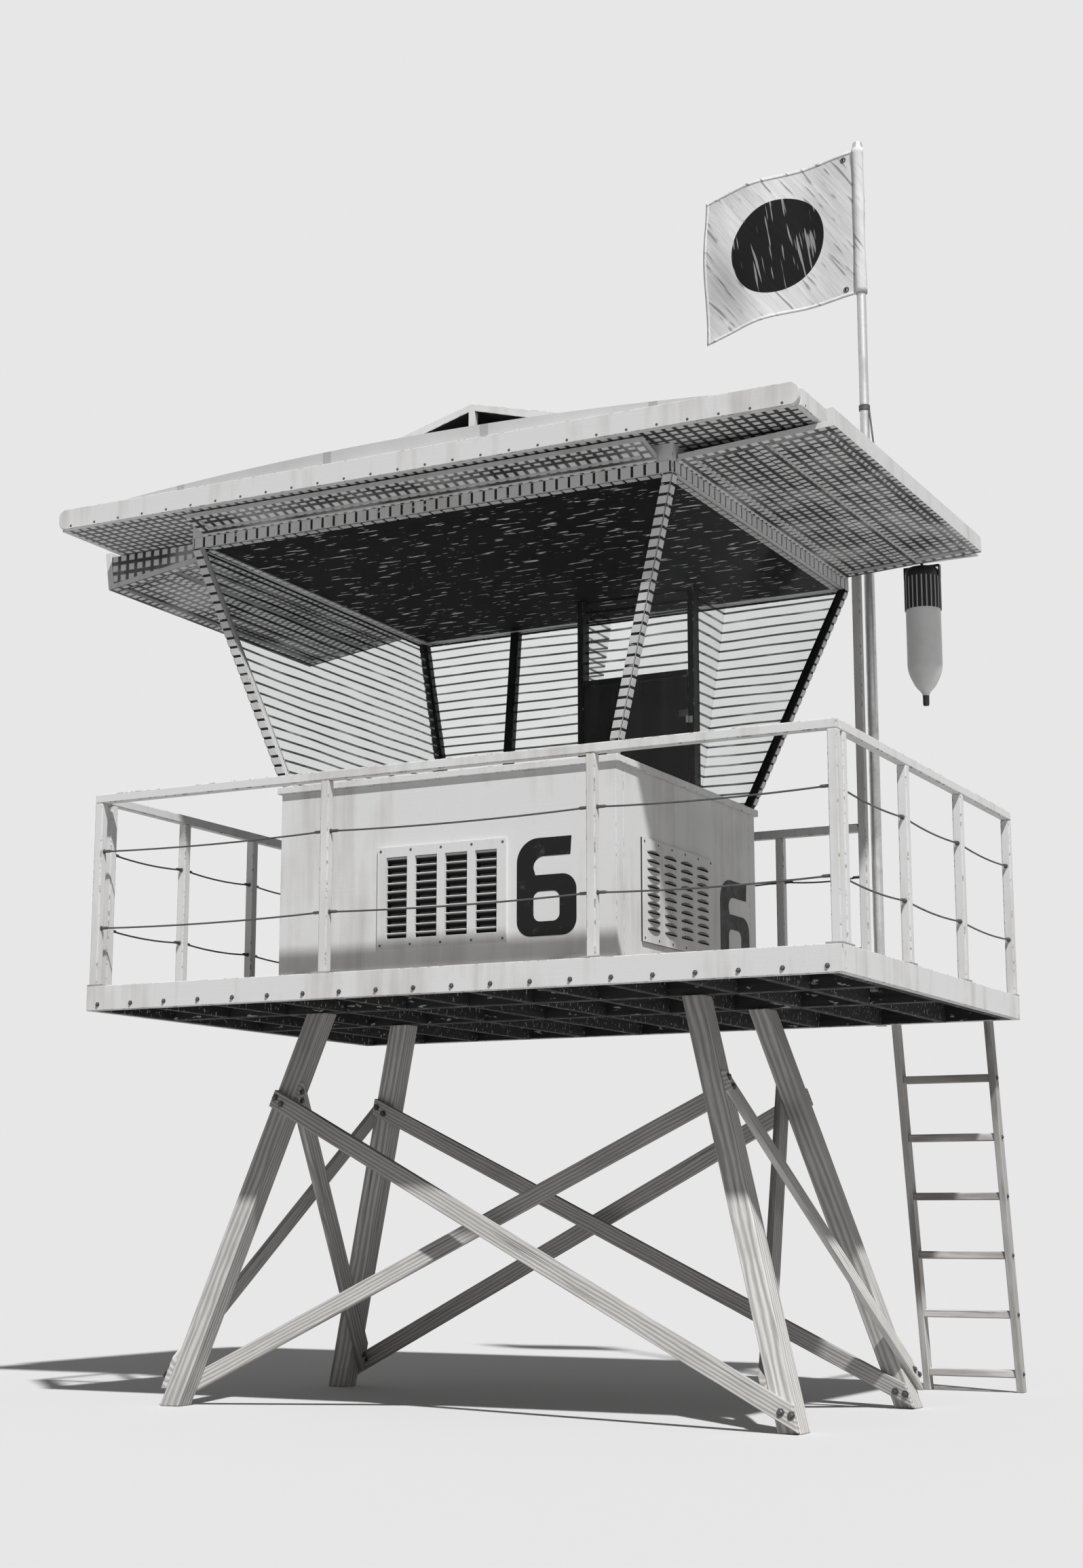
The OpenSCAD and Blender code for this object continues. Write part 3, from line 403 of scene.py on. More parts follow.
def window_glass(name):
    """Clear panes with a film of salt, and thin level lines of painted shade on the left and rear panes."""
    s = Shader(name)
    low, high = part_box("window_glass")
    left = s.maths("LESS_THAN", s.part(s.place, 0), low.x + GLASS_REACH)
    inner = s.maths("LESS_THAN", s.part(s.place, 0), high.x - GLASS_REACH)
    rear = s.maths("GREATER_THAN", s.part(s.place, 1), high.y - GLASS_REACH)
    sideways = s.maths("MAXIMUM", left, s.times(rear, inner))
    shade_lined = s.plus(s.times(s.maths("ABSOLUTE", s.part(s.normal(), 0)), sideways),
                   s.times(s.maths("ABSOLUTE", s.part(s.normal(), 1)), rear))
    # The level lines are painted shade, drawn on the left and rear panes only
    level = s.maths("DIVIDE", s.part(s.place, 2), GLASS_LINE_PITCH)
    wander = s.times(s.grain(s.place, (0.8, 0.8, 2), 2), 0.6)
    line = s.range(s.offset(s.plus(level, wander)), 0.37, 0.44)
    film = s.grain(s.place, (3, 3, 9), 5)
    line = s.times(line, s.range(film, 0.25, 0.55, 0.45, 1))
    line = s.times(line, s.range(shade_lined, 0.5, 0.7))
    cover = s.plus(s.times(line, 0.74), s.range(film, 0.3, 0.8, 0, 0.02))
    gloss = s.times(s.maths("POWER", s.add("LayerWeight").outputs["Facing"], 5), 0.9)
    cover = s.maths("ADD", cover, s.plus(gloss, 0.006), True)
    s.blend(cover, s.add("BsdfTransparent", {"Color": GLASS_TINT}), s.surface)
    return s.finish(grey(0.03), s.range(film, 0, 1, 0.02, 0.1))


# Heights of the can's head band of painted shade, and of its dark tip
CAN_HEAD_SHADE = 0.09
CAN_TIP = 0.066
DARK_EDGE = 0.004


def can_plastic(name):
    """Scuffed white plastic, dark at the tip, with painted shade as a dark band at the head."""
    s = Shader(name)
    scuffs = s.grain(s.place, (40, 40, 8), 6, 0.7)
    patches = s.noise(s.place, 9, 4)
    colour = s.mix(s.range(patches, 0.4, 0.75, 0, 0.4), grey(0.9), grey(0.76, 0.03))
    colour = s.mix(s.range(scuffs, 0.62, 0.72, 0, 0.5), colour, grey(0.4))
    low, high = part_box("rescue_can")
    head, tip = high.z - CAN_HEAD_SHADE, low.z + CAN_TIP
    height = s.part(s.place, 2)
    # Near-black at the head as painted shade, and at the tip as the can's own colour
    dark = s.maths("MAXIMUM", s.range(height, head, head + DARK_EDGE),
                   s.range(height, tip, tip - DARK_EDGE))
    colour = s.mix(dark, colour, grey(0.02))
    return s.finish(colour, s.range(scuffs, 0.3, 0.7, 0.28, 0.5),
                    s.bump(s.noise(s.place, 300, 2), 0.12, 0.0005))


# Materials: cloth, webbing and the numerals' paint

RIBS = 24


def webbing(name):
    """Black webbing with pale ribs that run down the can."""
    s = Shader(name)
    weave = s.times(s.wave(s.place, 90, "Z"), s.wave(s.stretched(s.place, (1, 1, 1), (0, 0, 0.5)), 110, "X"))
    can = middle("rescue_can")
    turn = s.maths("ARCTAN2", s.minus(s.part(s.place, 1), can.y), s.minus(s.part(s.place, 0), can.x))
    rib = s.range(s.offset(s.times(turn, RIBS / math.tau)), 0.34, 0.38)
    colour = s.mix(rib, s.mix(weave, grey(0.015), grey(0.05)), grey(0.5))
    return s.finish(colour, 0.85, s.bump(weave, 0.6, 0.001))


FLAG_W = 1.11
FLAG_H = 1.0
DISC_R = 0.325
DISC_EDGE = 0.002
CREASE_TURN = 0.62
SHEEN_STREAK_TURN = 0.16


def flag_cloth(name):
    """White bunting with a dyed black disc, read from the cloth's own flat coordinates; its creases carry
    painted shade and the disc painted sheen streaks.
    """
    s = Shader(name, 0.15)
    s.surface.inputs["Sheen Weight"].default_value = 0.04
    flat = s.attribute("flat")
    spot = s.add("VectorMath", {0: flat, 1: (FLAG_W / 2, FLAG_H / 2, 0)}, operation="DISTANCE")
    disc = s.range(spot.outputs["Value"], DISC_R + DISC_EDGE, DISC_R - DISC_EDGE)
    slant = s.stretched(flat, (1, 1, 1), (0, 0, CREASE_TURN))
    creases = s.grain(slant, (34, 2.2, 1), 1)
    # Dark bands along the creases are painted shade
    crease_shade = s.times(s.range(creases, 0.58, 0.66), s.range(s.grain(flat, (3, 3, 1), 2), 0.42, 0.52))
    cloth = s.mix(s.range(s.grain(slant, (16, 2, 1), 5), 0.3, 0.7), grey(0.8), grey(0.68))
    cloth = s.mix(s.times(crease_shade, 0.7), cloth, grey(0.16))
    upright = s.stretched(flat, (1, 1, 1), (0, 0, SHEEN_STREAK_TURN))
    # Pale streaks on the black disc are painted sheen
    streaks = s.range(s.grain(upright, (38, 3, 1), 1), 0.6, 0.65)
    disc_with_sheen = s.mix(s.times(streaks, 0.7), grey(0.008), grey(0.4))
    threads = s.plus(s.wave(flat, 520, "X"), s.wave(flat, 520, "Y"))
    normal = s.bump(threads, 0.2, 0.0004, s.bump(creases, 0.5, 0.006))
    return s.finish(s.mix(disc, cloth, disc_with_sheen), 0.8, normal)


def numeral_paint(name):
    s = Shader(name, 0.15)
    worn = s.noise(s.place, 14, 6, 0.7)
    colour = s.mix(s.range(worn, 0.56, 0.72, 0, 0.7), grey(0.012), grey(0.07))
    return s.finish(colour, s.range(worn, 0.3, 0.7, 0.35, 0.6), s.bump(worn, 0.2, 0.001))


# Each material's maker with its values. The louvres are painted black behind their faces, as shade.

DULL = 0.15
FRONT_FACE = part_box("front_vent")[0].y
SIDE_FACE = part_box("side_vent")[1].x

RECIPES = {
    "weathered_timber": (timber, 0.36, 0.68, 0.03),
    "frame_timber": (shade_black_boards,),
    "deck_boards": (timber, 0.2, 0.42, 0.04, True),
    "white_paint": (painted, grey(0.74), grey(0.5, 0.04)),
    "white_paint_edge": (painted, grey(0.72), grey(0.42, 0.05), 0.05),
    "frame_paint": (painted, grey(0.62), grey(0.4, 0.03)),
    "frame_paint_edge": (painted, grey(0.6), grey(0.36, 0.03), 0.06),
    # Near-black paint for the rear frame, the door and the hood's inside: painted shade
    "dark_frame": (painted, grey(0.02), grey(0.045, 0.03), 0, DULL),
    "dark_frame_edge": (painted, grey(0.03), grey(0.08, 0.03), 0.07, DULL),
    "door_paint": (painted, grey(0.028), grey(0.07, 0.03), 0, DULL),
    "door_paint_edge": (painted, grey(0.035), grey(0.1, 0.03), 0.08, DULL),
    "shutter_paint": (shutter_paint,),
    "scored_boards": (scored_boards,),
    "roof_membrane": (roof_membrane,),
    "galvanised_steel": (metal, 0.42, 0.5, 160),
    "dark_steel": (metal, 0.12, 0.55, 120),
    "front_louvre": (louvre, 1, FRONT_FACE + 0.024, FRONT_FACE + 0.012),
    "side_louvre": (louvre, 0, SIDE_FACE - 0.008, SIDE_FACE - 0.002),
    "pole_aluminium": (metal, 0.6, 0.42, 60),
    "window_glass": (window_glass,),
    "dark_ceiling": (ceiling_board,),
    "can_plastic": (can_plastic,),
    "webbing": (webbing,),
    "flag_cloth": (flag_cloth,),
    "numeral_paint": (numeral_paint,),
}
MATERIALS = {name: make(name, *values) for name, (make, *values) in RECIPES.items()}


# Mesh helpers

def show(name, bm, slot, material=None, edge=None, body="tower", smooth=False):
    """Makes a piece of a bmesh, with its material, the slot's own when none is given, and its body."""
    mesh = bpy.data.meshes.new(name)
    bm.normal_update()
    bm.to_mesh(mesh)
    bm.free()
    piece = put(name, mesh)
    mesh.materials.append(MATERIALS[material or slot])
    if edge:
        mesh.materials.append(MATERIALS[edge])
    if smooth:
        mesh.shade_smooth()
        mesh.set_sharp_from_angle(angle=SHARP)
    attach(piece, body)
    return piece


def thicken(piece, thickness, offset):
    """Gives a surface a thickness, to both sides at offset 0 and inwards at -1."""
    thick = piece.modifiers.new("thickness", "SOLIDIFY")
    thick.thickness = thickness
    thick.offset = offset


def islands(bm):
    """The vertices of each separate solid, in a steady order."""
    bm.verts.ensure_lookup_table()
    seen = set()
    groups = []
    for start in bm.verts:
        if start in seen:
            continue
        group = [start]
        seen.add(start)
        for vert in group:
            for edge in vert.link_edges:
                other = edge.other_vert(vert)
                if other not in seen:
                    seen.add(other)
                    group.append(other)
        groups.append(group)
    return groups


def main_axes(points):
    """Centre and unit axes of a set of points, the longest first."""
    centre = points.mean(0)
    spread = np.linalg.eigh(np.cov((points - centre).T))[1][:, ::-1].T
    for axis in spread:
        if axis[np.argmax(np.abs(axis))] < 0:
            axis *= -1
    return centre, spread


def mark_boards(bm):
    """Gives each solid its own grain coordinates and tone."""
    board = bm.verts.layers.float_vector.new("board")
    tone = bm.verts.layers.float.new("tone")
    for group in islands(bm):
        points = np.array([v.co for v in group])
        centre, axes = main_axes(points)
        slide = Vector((random.uniform(0, 40), random.uniform(0, 9), random.uniform(0, 9)))
        value = random.random()
        for vert, place in zip(group, (points - centre) @ axes.T):
            vert[board] = Vector(place) + slide
            vert[tone] = value


def weld(bm):
    bmesh.ops.remove_doubles(bm, verts=bm.verts, dist=WELD)


def welded(node):
    """A copy of a CAD node's mesh with its seams closed and its flat faces whole."""
    bm = bmesh.new()
    bm.from_mesh(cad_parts[node].data)
    weld(bm)
    bmesh.ops.dissolve_limit(bm, angle_limit=FLAT, verts=bm.verts, edges=bm.edges)
    return bm


def rounded(bm, width, segments=2):
    """Rounds every sharp edge and gives the new faces the second material."""
    sharp = [e for e in bm.edges if len(e.link_faces) == 2 and e.calc_face_angle() > SHARP]
    made = bmesh.ops.bevel(bm, geom=sharp, offset=width, offset_type="OFFSET", segments=segments,
                           profile=0.5, affect="EDGES", clamp_overlap=True)
    for face in made["faces"]:
        face.material_index = 1


def soften(node, slot, width, edge=None, body="tower", material=None):
    """Stands for a CAD node: the same boards with eased edges and their grain set."""
    bm = welded(node)
    rounded(bm, width)
    mark_boards(bm)
    piece = show(node + "_finish", bm, slot, material, edge or slot, body)
    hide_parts(node)
    return piece


def repaint(piece, material, chosen):
    """Gives the chosen faces of a piece another material."""
    piece.data.materials.append(MATERIALS[material])
    for face in piece.data.polygons:
        if chosen(face):
            face.material_index = len(piece.data.materials) - 1


def solids(node):
    """The points of each solid of a CAD node."""
    bm = welded(node)
    found = [np.array([v.co for v in group]) for group in islands(bm)]
    bm.free()
    return found


def skin(bm, rows, closed=True):
    """Joins rows of vertices by four-sided faces, and the ends of each row if closed."""
    for low, high in zip(rows, rows[1:]):
        for i in range(len(low) if closed else len(low) - 1):
            j = (i + 1) % len(low)
            bm.faces.new((low[i], low[j], high[j], high[i]))


def add_block(bm, centre, half_x, half_y, half_z):
    """A block given by its centre and three half-side vectors."""
    signs = [(-1, -1), (1, -1), (1, 1), (-1, 1)]
    low, high = [[bm.verts.new(centre + half_x * a + half_y * b + half_z * c) for a, b in signs]
                 for c in (-1, 1)]
    bm.faces.new(low[::-1])
    bm.faces.new(high)
    skin(bm, (low, high))


def add_turned(bm, base, axis, profile, sides):
    """A turned shape of (radius, height) rings along an axis, closed at both ends."""
    turn = Vector(axis).to_track_quat("Z", "Y")
    angles = [math.tau * i / sides for i in range(sides)]
    rings = []
    for radius, height in profile:
        points = [Vector((radius * math.cos(a), radius * math.sin(a), height)) for a in angles]
        rings.append([bm.verts.new(Vector(base) + turn @ point) for point in points])
    skin(bm, rings)
    bm.faces.new(rings[0][::-1])
    bm.faces.new(rings[-1])


def tidy_normals(bm):
    bmesh.ops.recalc_face_normals(bm, faces=bm.faces)


# Boards: the nodes, their slot, how far their edges are eased, the edges' material, and where they
# differ their body and material

BOARDS = (
    ("leg_front_left leg_front_right leg_rear_left leg_rear_right", "weathered_timber", 0.007),
    ("braces_front braces_rear braces_left braces_right ladder_stiles", "weathered_timber", 0.004),
    ("ladder_rungs", "weathered_timber", 0.006),
    # The deck's frame is painted near-black as shade
    ("deck_girders", "frame_timber", 0.004),
    ("deck_joists", "frame_timber", 0.0025),
    ("deck_rims window_sills head_beams roof_fascia_front roof_edges",
     "white_paint", 0.004, "white_paint_edge"),
    ("rail_posts top_rails", "white_paint", 0.006, "white_paint_edge"),
    ("front_wall left_wall right_wall rear_wall roof_vent", "white_paint", 0.0025, "white_paint_edge"),
    # The rear posts and the door head are painted near-black as shade
    ("rear_posts door_head", "frame_paint", 0.004, "dark_frame_edge", "tower", "dark_frame"),
    ("corner_posts", "frame_paint", 0.004, "frame_paint_edge"),
    # The door's near-black paint is painted shade
    ("door_leaf", "door_paint", 0.0025, "door_paint_edge", "door"),
    ("shutter_front shutter_left shutter_right", "shutter_paint", 0.0025),
)
RIM_FACE_AREA = 0.02


def boards():
    """Eased boards. The roof hood's inside, the rear corner posts and the rims' inner faces are painted dark
    as shade.
    """
    made = {node: soften(node, *finish) for nodes, *finish in BOARDS for node in nodes.split()}
    hood, posts, deck = middle("roof_vent"), middle("corner_posts"), middle("deck_rims")
    # Painted shade: the hood's inner faces, the rear corner posts and the rims' inner faces go near-black
    repaint(made["roof_vent"], "dark_frame", lambda face: faces_in(face, hood))
    repaint(made["corner_posts"], "dark_frame", lambda face: face.center.y > posts.y)
    repaint(made["deck_rims"], "frame_timber", lambda face: face.normal.z < 0.5
            and face.area > RIM_FACE_AREA and faces_in(face, deck))


def faces_in(face, centre):
    return (face.center - centre).dot(face.normal) < 0


# Fasteners, as (radius, height) rings

NAIL = [(0.0045, 0), (0.0045, 0.0012), (0.003, 0.0018)]
RIM_BOLT = [(0.014, 0), (0.014, 0.0025), (0.0095, 0.0027), (0.0095, 0.008), (0.006, 0.01)]
BRACE_BOLT = [(0.021, 0), (0.021, 0.003), (0.013, 0.0032), (0.013, 0.011), (0.008, 0.014)]
FLUSH_SCREW = [(0.008, -0.004), (0.008, 0.0001), (0.0055, 0.0006)]
SMALL_SCREW = [(0.0075, 0), (0.0075, 0.0015), (0.0045, 0.003)]
FERRULE = [(0.013, 0), (0.013, 0.004), (0.0085, 0.006), (0.0085, 0.042), (0.0062, 0.05)]
EYELET = [(0.02, 0), (0.02, 0.0015), (0.014, 0.0035), (0.009, 0.0025), (0.009, 0)]

# Places of the heads: pitch, height over the board's foot and distance from its ends
RIM_PITCH = 0.225
RIM_BOLT_UP = 0.034
RIM_END = 0.08
RIM_SIDE_END = 0.12
LADDER_CLEAR = 0.03
SCREW_PITCH = 0.175
SCREW_UP = 0.017
SCREW_END = 0.09
SCREW_SIDE_END = 0.06
VENT_PITCH = 0.19
VENT_EDGE = 0.02

# A brace end's two bolts, as distances from the end and across
BRACE_STEPS = ((0.07, 0.006579), (0.125, -0.007895))


def fasteners(name, places, profile, sides, smooth=True):
    """Joined heads at (point, direction) places."""
    bm = bmesh.new()
    for point, direction in places:
        add_turned(bm, point, direction, profile, sides)
    return show(name, bm, "galvanised_steel", "dark_steel", smooth=smooth)


def row(node, outward, up, end, pitch):
    """Even places along one side of a node's box, at a height over its foot."""
    low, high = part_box(node)
    along = 1 if outward.x else 0
    point = (high if sum(outward) > 0 else low).copy()
    point.z = low.z + up
    first, last = low[along] + end, high[along] - end
    count = round((last - first) / pitch)
    places = []
    for i in range(count + 1):
        point[along] = first + (last - first) * i / count
        places.append((point.copy(), outward))
    return places


def rim_bolts():
    """Bolts along the front, rear and left rims, but not behind the ladder."""
    low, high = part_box("ladder_stiles")
    rear = [place for place in row("deck_rims", Y, RIM_BOLT_UP, RIM_END, RIM_PITCH)
            if not low.x - LADDER_CLEAR < place[0].x < high.x + LADDER_CLEAR]
    front = row("deck_rims", -Y, RIM_BOLT_UP, RIM_END, RIM_PITCH)
    left = row("deck_rims", -X, RIM_BOLT_UP, RIM_SIDE_END, RIM_PITCH)
    fasteners("rim_bolts", front + rear + left, RIM_BOLT, 6)


def fascia_screws():
    places = row("roof_fascia_front", -Y, SCREW_UP, SCREW_END, SCREW_PITCH)
    for outward, end in ((Y, SCREW_END), (-X, SCREW_SIDE_END), (X, SCREW_SIDE_END)):
        places += row("roof_edges", outward, SCREW_UP, end, SCREW_PITCH * 2)
    fasteners("fascia_screws", places, FLUSH_SCREW, 12)


def vent_screws():
    places = []
    for node, outward in (("front_vent", -Y), ("side_vent", X)):
        low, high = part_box(node)
        for up in (VENT_EDGE, high.z - low.z - VENT_EDGE):
            places += row(node, outward, up, VENT_EDGE, VENT_PITCH)
    fasteners("vent_screws", places, SMALL_SCREW, 8)


def brace_bolts():
    """Two bolts at each end of each brace board's free face."""
    places = []
    for side in ("front", "rear", "left", "right"):
        braces = [main_axes(p) + (p,) for p in solids("braces_" + side)]
        inside = sum(brace[0] for brace in braces) / len(braces)
        for centre, axes, points in braces:
            reach = np.abs((points - centre) @ axes.T).max(0)
            out = axes[2] if (centre - inside) @ axes[2] > 0 else -axes[2]
            for end in (-1, 1):
                for step, across in BRACE_STEPS:
                    point = centre + end * (reach[0] - step) * axes[0] + across * axes[1]
                    places.append((Vector(point + out * reach[2]), Vector(out)))
    fasteners("brace_bolts", places, BRACE_BOLT, 6)


def ladder_bolts():
    low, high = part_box("ladder_stiles")
    places = []
    for points in solids("ladder_rungs"):
        y, z = points.mean(0)[1:]
        places += [((low.x, y, z), -X), ((high.x, y, z), X)]
    fasteners("ladder_bolts", places, RIM_BOLT, 6)


CABLE_R = 0.005


def cable_ends():
    """A swaged ferrule and washer where each cable meets a post."""
    places = []
    for points in solids("rail_cables"):
        low, high = points.min(0), points.max(0)
        axis = 0 if high[0] - low[0] > high[1] - low[1] else 1
        point = Vector((low + high) / 2)
        point.z = high[2] - CABLE_R
        for end, direction in ((low, (X, Y)[axis]), (high, -(X, Y)[axis])):
            point[axis] = end[axis]
            places.append((point.copy(), direction))
    fasteners("cable_ends", places, FERRULE, 10)


# Deck boards: each row is cut over another joist, clear of the outer ones

BOARD_PITCH = 0.146
BOARD_GAP = 0.006
BOARD_EASE = 0.0025
OUTER_JOISTS = 3
CUT_STEP = 5
NAIL_ACROSS = 0.3
NAIL_SINK = 0.001


def deck_boards():
    """The floor as separate boards, with butt joints over the joists."""
    low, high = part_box("deck_floor")
    joists = sorted({round(float(p[:, 0].mean()), 4) for p in solids("deck_joists")})
    count = round((high.y - low.y) / BOARD_PITCH)
    pitch = (high.y - low.y) / count
    rows = [low.y + (i + 0.5) * pitch for i in range(count)]
    bm = bmesh.new()
    for i, y in enumerate(rows):
        cut = joists[OUTER_JOISTS + (i * CUT_STEP) % (len(joists) - 2 * OUTER_JOISTS)]
        for x0, x1 in ((low.x, cut), (cut, high.x)):
            add_block(bm, Vector(((x0 + x1) / 2, y, (low.z + high.z) / 2)),
                      X * ((x1 - x0) / 2 - BOARD_GAP / 4), Y * (pitch - BOARD_GAP) / 2,
                      Z * (high.z - low.z) / 2)
    rounded(bm, BOARD_EASE, 1)
    mark_boards(bm)
    piece = show("deck_boards", bm, "deck_boards")
    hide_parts("deck_floor")
    nails = [((x, y + side * pitch * NAIL_ACROSS, high.z - NAIL_SINK), Z)
             for y in rows for x in joists for side in (-1, 1)]
    fasteners("deck_nails", nails, NAIL, 6, False)


# Base plates of the railing posts

PLATE_HALF = 0.054
PLATE_T = 0.008
PLATE_EDGE = 0.007
PLATE_BOLT_IN = 0.013
PLATE_EASE = 0.002
RIM_REACH = 0.04


def post_plates():
    """A plate with two bolts under each railing post, along its rim. A corner cuts one short."""
    low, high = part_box("rail_posts")
    bm = bmesh.new()
    heads = []
    for points in solids("rail_posts"):
        place = Vector((points[:, 0].mean(), points[:, 1].mean(), low.z + PLATE_T / 2))
        half = np.ptp(points[:, 0]) / 2 + PLATE_EDGE
        axis = 0 if min(place.y - low.y, high.y - place.y) < RIM_REACH else 1
        along, side = ((X, Y), (Y, X))[axis]
        start = max(-PLATE_HALF, low[axis] - PLATE_EDGE - place[axis])
        end = min(PLATE_HALF, high[axis] + PLATE_EDGE - place[axis])
        add_block(bm, place + along * (start + end) / 2, along * (end - start) / 2, side * half,
                  Z * PLATE_T / 2)
        heads += [(place + along * (edge + inward) + Z * PLATE_T / 2, Z)
                  for edge, inward in ((start, PLATE_BOLT_IN), (end, -PLATE_BOLT_IN))
                  if abs(edge) == PLATE_HALF]
    rounded(bm, PLATE_EASE, 1)
    show("post_plates", bm, "galvanised_steel")
    fasteners("post_plate_bolts", heads, SMALL_SCREW, 8)


# Cover plates: the ticked pale strips on and under the head beams and on the corner posts

BEAM_PITCH = 0.075
POST_PITCH = 0.058
STRIP_GAP = 0.016
STRIP_T = 0.005
STRIP_H = 0.06
STRIP_HANG = 0.011
STRIP_END = 0.012
STRIP_EASE = 0.0012
BACKING_T = 0.002
BACKING_SHARE = 0.98
POST_STRIP_W = 0.05
POST_FOOT = 0.015
POST_TOP = 0.01
UNDER_IN = 0.064
UNDER_HALF = 0.018
END_BAND = 0.001


def strip(plates, backing, start, end, across, normal, pitch):
    """Cover plates from start to end over a dark backing, a sheet of painted shade in their gaps, across
    half-wide each way.
    """
    run = end - start
    count = round(run.length / pitch)
    step = run / count
    along = step.normalized() * (step.length - STRIP_GAP) / 2
    out = normal.normalized()
    add_block(backing, (start + end) / 2 + out * BACKING_T / 2, run / 2, across * BACKING_SHARE,
              out * BACKING_T / 2)
    for i in range(count):
        centre = start + step * (i + 0.5) + out * (BACKING_T + STRIP_T / 2)
        add_block(plates, centre, along, across, out * STRIP_T / 2)


def beam_strips():
    """Strips on the outer faces of the head beams, and under all but the rear one."""
    low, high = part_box("head_beams")
    z = low.z - STRIP_HANG + STRIP_H / 2
    rows = [((low.x, low.y), (high.x, low.y), -Y), ((low.x, high.y), (high.x, high.y), Y),
            ((low.x, low.y), (low.x, high.y), -X), ((high.x, low.y), (high.x, high.y), X)]
    for a, b, normal in rows:
        start, end = Vector((*a, z)), Vector((*b, z))
        inset = (end - start).normalized() * STRIP_END
        yield start + inset, end - inset, Z * STRIP_H / 2, normal, BEAM_PITCH
        if normal != Y:
            under = Z * (low.z - z) - normal * UNDER_IN
            yield start + inset + under, end - inset + under, normal * UNDER_HALF, -Z, BEAM_PITCH


def post_strips():
    """Strips up the two outer faces of each leaning corner post."""
    for points in solids("corner_posts"):
        feet = points[points[:, 2] < points[:, 2].min() + END_BAND]
        tops = points[points[:, 2] > points[:, 2].max() - END_BAND]
        foot, top = Vector(feet.mean(0)), Vector(tops.mean(0))
        half = np.ptp(feet[:, 0]) / 2
        lean = top - foot
        for axis, side in ((X, Y), (Y, X)):
            face = axis * half * (1 if lean.dot(axis) > 0 else -1)
            normal = lean.cross(side)
            if normal.dot(face) < 0:
                normal = -normal
            yield (foot + face + lean * POST_FOOT, top + face - lean * POST_TOP,
                   side * POST_STRIP_W / 2, normal, POST_PITCH)


def cover_strips():
    plates = bmesh.new()
    backing = bmesh.new()
    for place in [*beam_strips(), *post_strips()]:
        strip(plates, backing, *place)
    tidy_normals(plates)
    tidy_normals(backing)
    rounded(plates, STRIP_EASE, 1)
    mark_boards(plates)
    mark_boards(backing)
    show("cover_plates", plates, "white_paint")
    # The dark backing is painted shade between the plates
    show("cover_backing", backing, "frame_timber")


# Boards that close the two ends of the left shutter, from its panel up to the roof

END_T = 0.012
END_INSET = 0.001
END_CLEAR = 0.004
END_BOTTOM = 0.033
END_LIP = 0.041
END_FROM_HINGE = 0.03
END_LEAN = 0.02


def shutter_ends():
    low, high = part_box("shutter_left")
    points = np.concatenate(solids("shutter_left"))
    face = points[points[:, 1] < low.y + END_BAND]
    foot = face[face[:, 2].argmin()]
    hinge = face[face[:, 0].argmax()]
    run = Vector((hinge[0] - foot[0], 0, hinge[2] - foot[2])).normalized()
    rise = Vector((-run.z, 0, run.x))
    corner = Vector((foot[0], 0, foot[2])) + rise * END_BOTTOM
    outer = corner + run * END_LIP
    inner = corner + run * (hinge[0] - foot[0] - END_FROM_HINGE) / run.x
    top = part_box("roof_edges")[0].z - END_CLEAR
    outline = [outer, inner, Vector((inner.x, 0, top)), Vector((outer.x - END_LEAN, 0, top))]
    bm = bmesh.new()
    for y in (low.y + END_INSET, high.y - END_INSET - END_T):
        near = [bm.verts.new(p + Y * y) for p in outline]
        far = [bm.verts.new(p + Y * (y + END_T)) for p in outline]
        bm.faces.new(near)
        bm.faces.new(far[::-1])
        skin(bm, (near, far))
    tidy_normals(bm)
    mark_boards(bm)
    show("shutter_ends", bm, "shutter_paint", "scored_boards")


# Numerals: the figure's size, the radii of its corners, and its place on each wall

NUMBER_W = 0.358
NUMBER_H = 0.53
NUMBER_STROKE = 0.1
NUMBER_T = 0.002
CORNER_R = 0.085
NECK_R = 0.062
BROW_R = 0.13
HOLE_R = 0.04
BOWL_SHARE = 0.62
FRONT_FROM_RIGHT = 0.236
FRONT_UP = 0.19
SIDE_FROM_REAR = 0.02
SIDE_UP = 0.13
SIDE_WIDEN = 1.2


def arc(x, y, radius, start, end, count=8):
    """Points of an arc, angles in degrees."""
    turns = [math.radians(start + (end - start) * i / count) for i in range(count + 1)]
    return [(x + radius * math.cos(t), y + radius * math.sin(t)) for t in turns]


def six_outline():
    """The outer line of a square-shouldered 6, and the line of its hole."""
    w, h, s = NUMBER_W, NUMBER_H, NUMBER_STROKE
    bowl = h * BOWL_SHARE
    outer = arc(CORNER_R, CORNER_R, CORNER_R, 180, 270)
    outer += arc(w - CORNER_R, CORNER_R, CORNER_R, 270, 360)
    outer += arc(w - CORNER_R, bowl - CORNER_R, CORNER_R, 0, 90)
    outer += [(s * 1.12, bowl)]
    outer += arc(s + NECK_R, h - s - NECK_R, NECK_R, 180, 90, 6)
    outer += [(w * 0.9, h - s), (w * 0.92, h)]
    outer += arc(BROW_R, h - BROW_R, BROW_R, 90, 180, 10)
    left, right = s + HOLE_R, w - s - HOLE_R
    low, high = s * 0.78 + HOLE_R, bowl - s * 0.88 - HOLE_R
    hole = []
    for x, y, start in ((left, low, 180), (right, low, 270), (right, high, 0), (left, high, 90)):
        hole += arc(x, y, HOLE_R, start, start + 90, 5)
    return outer, hole


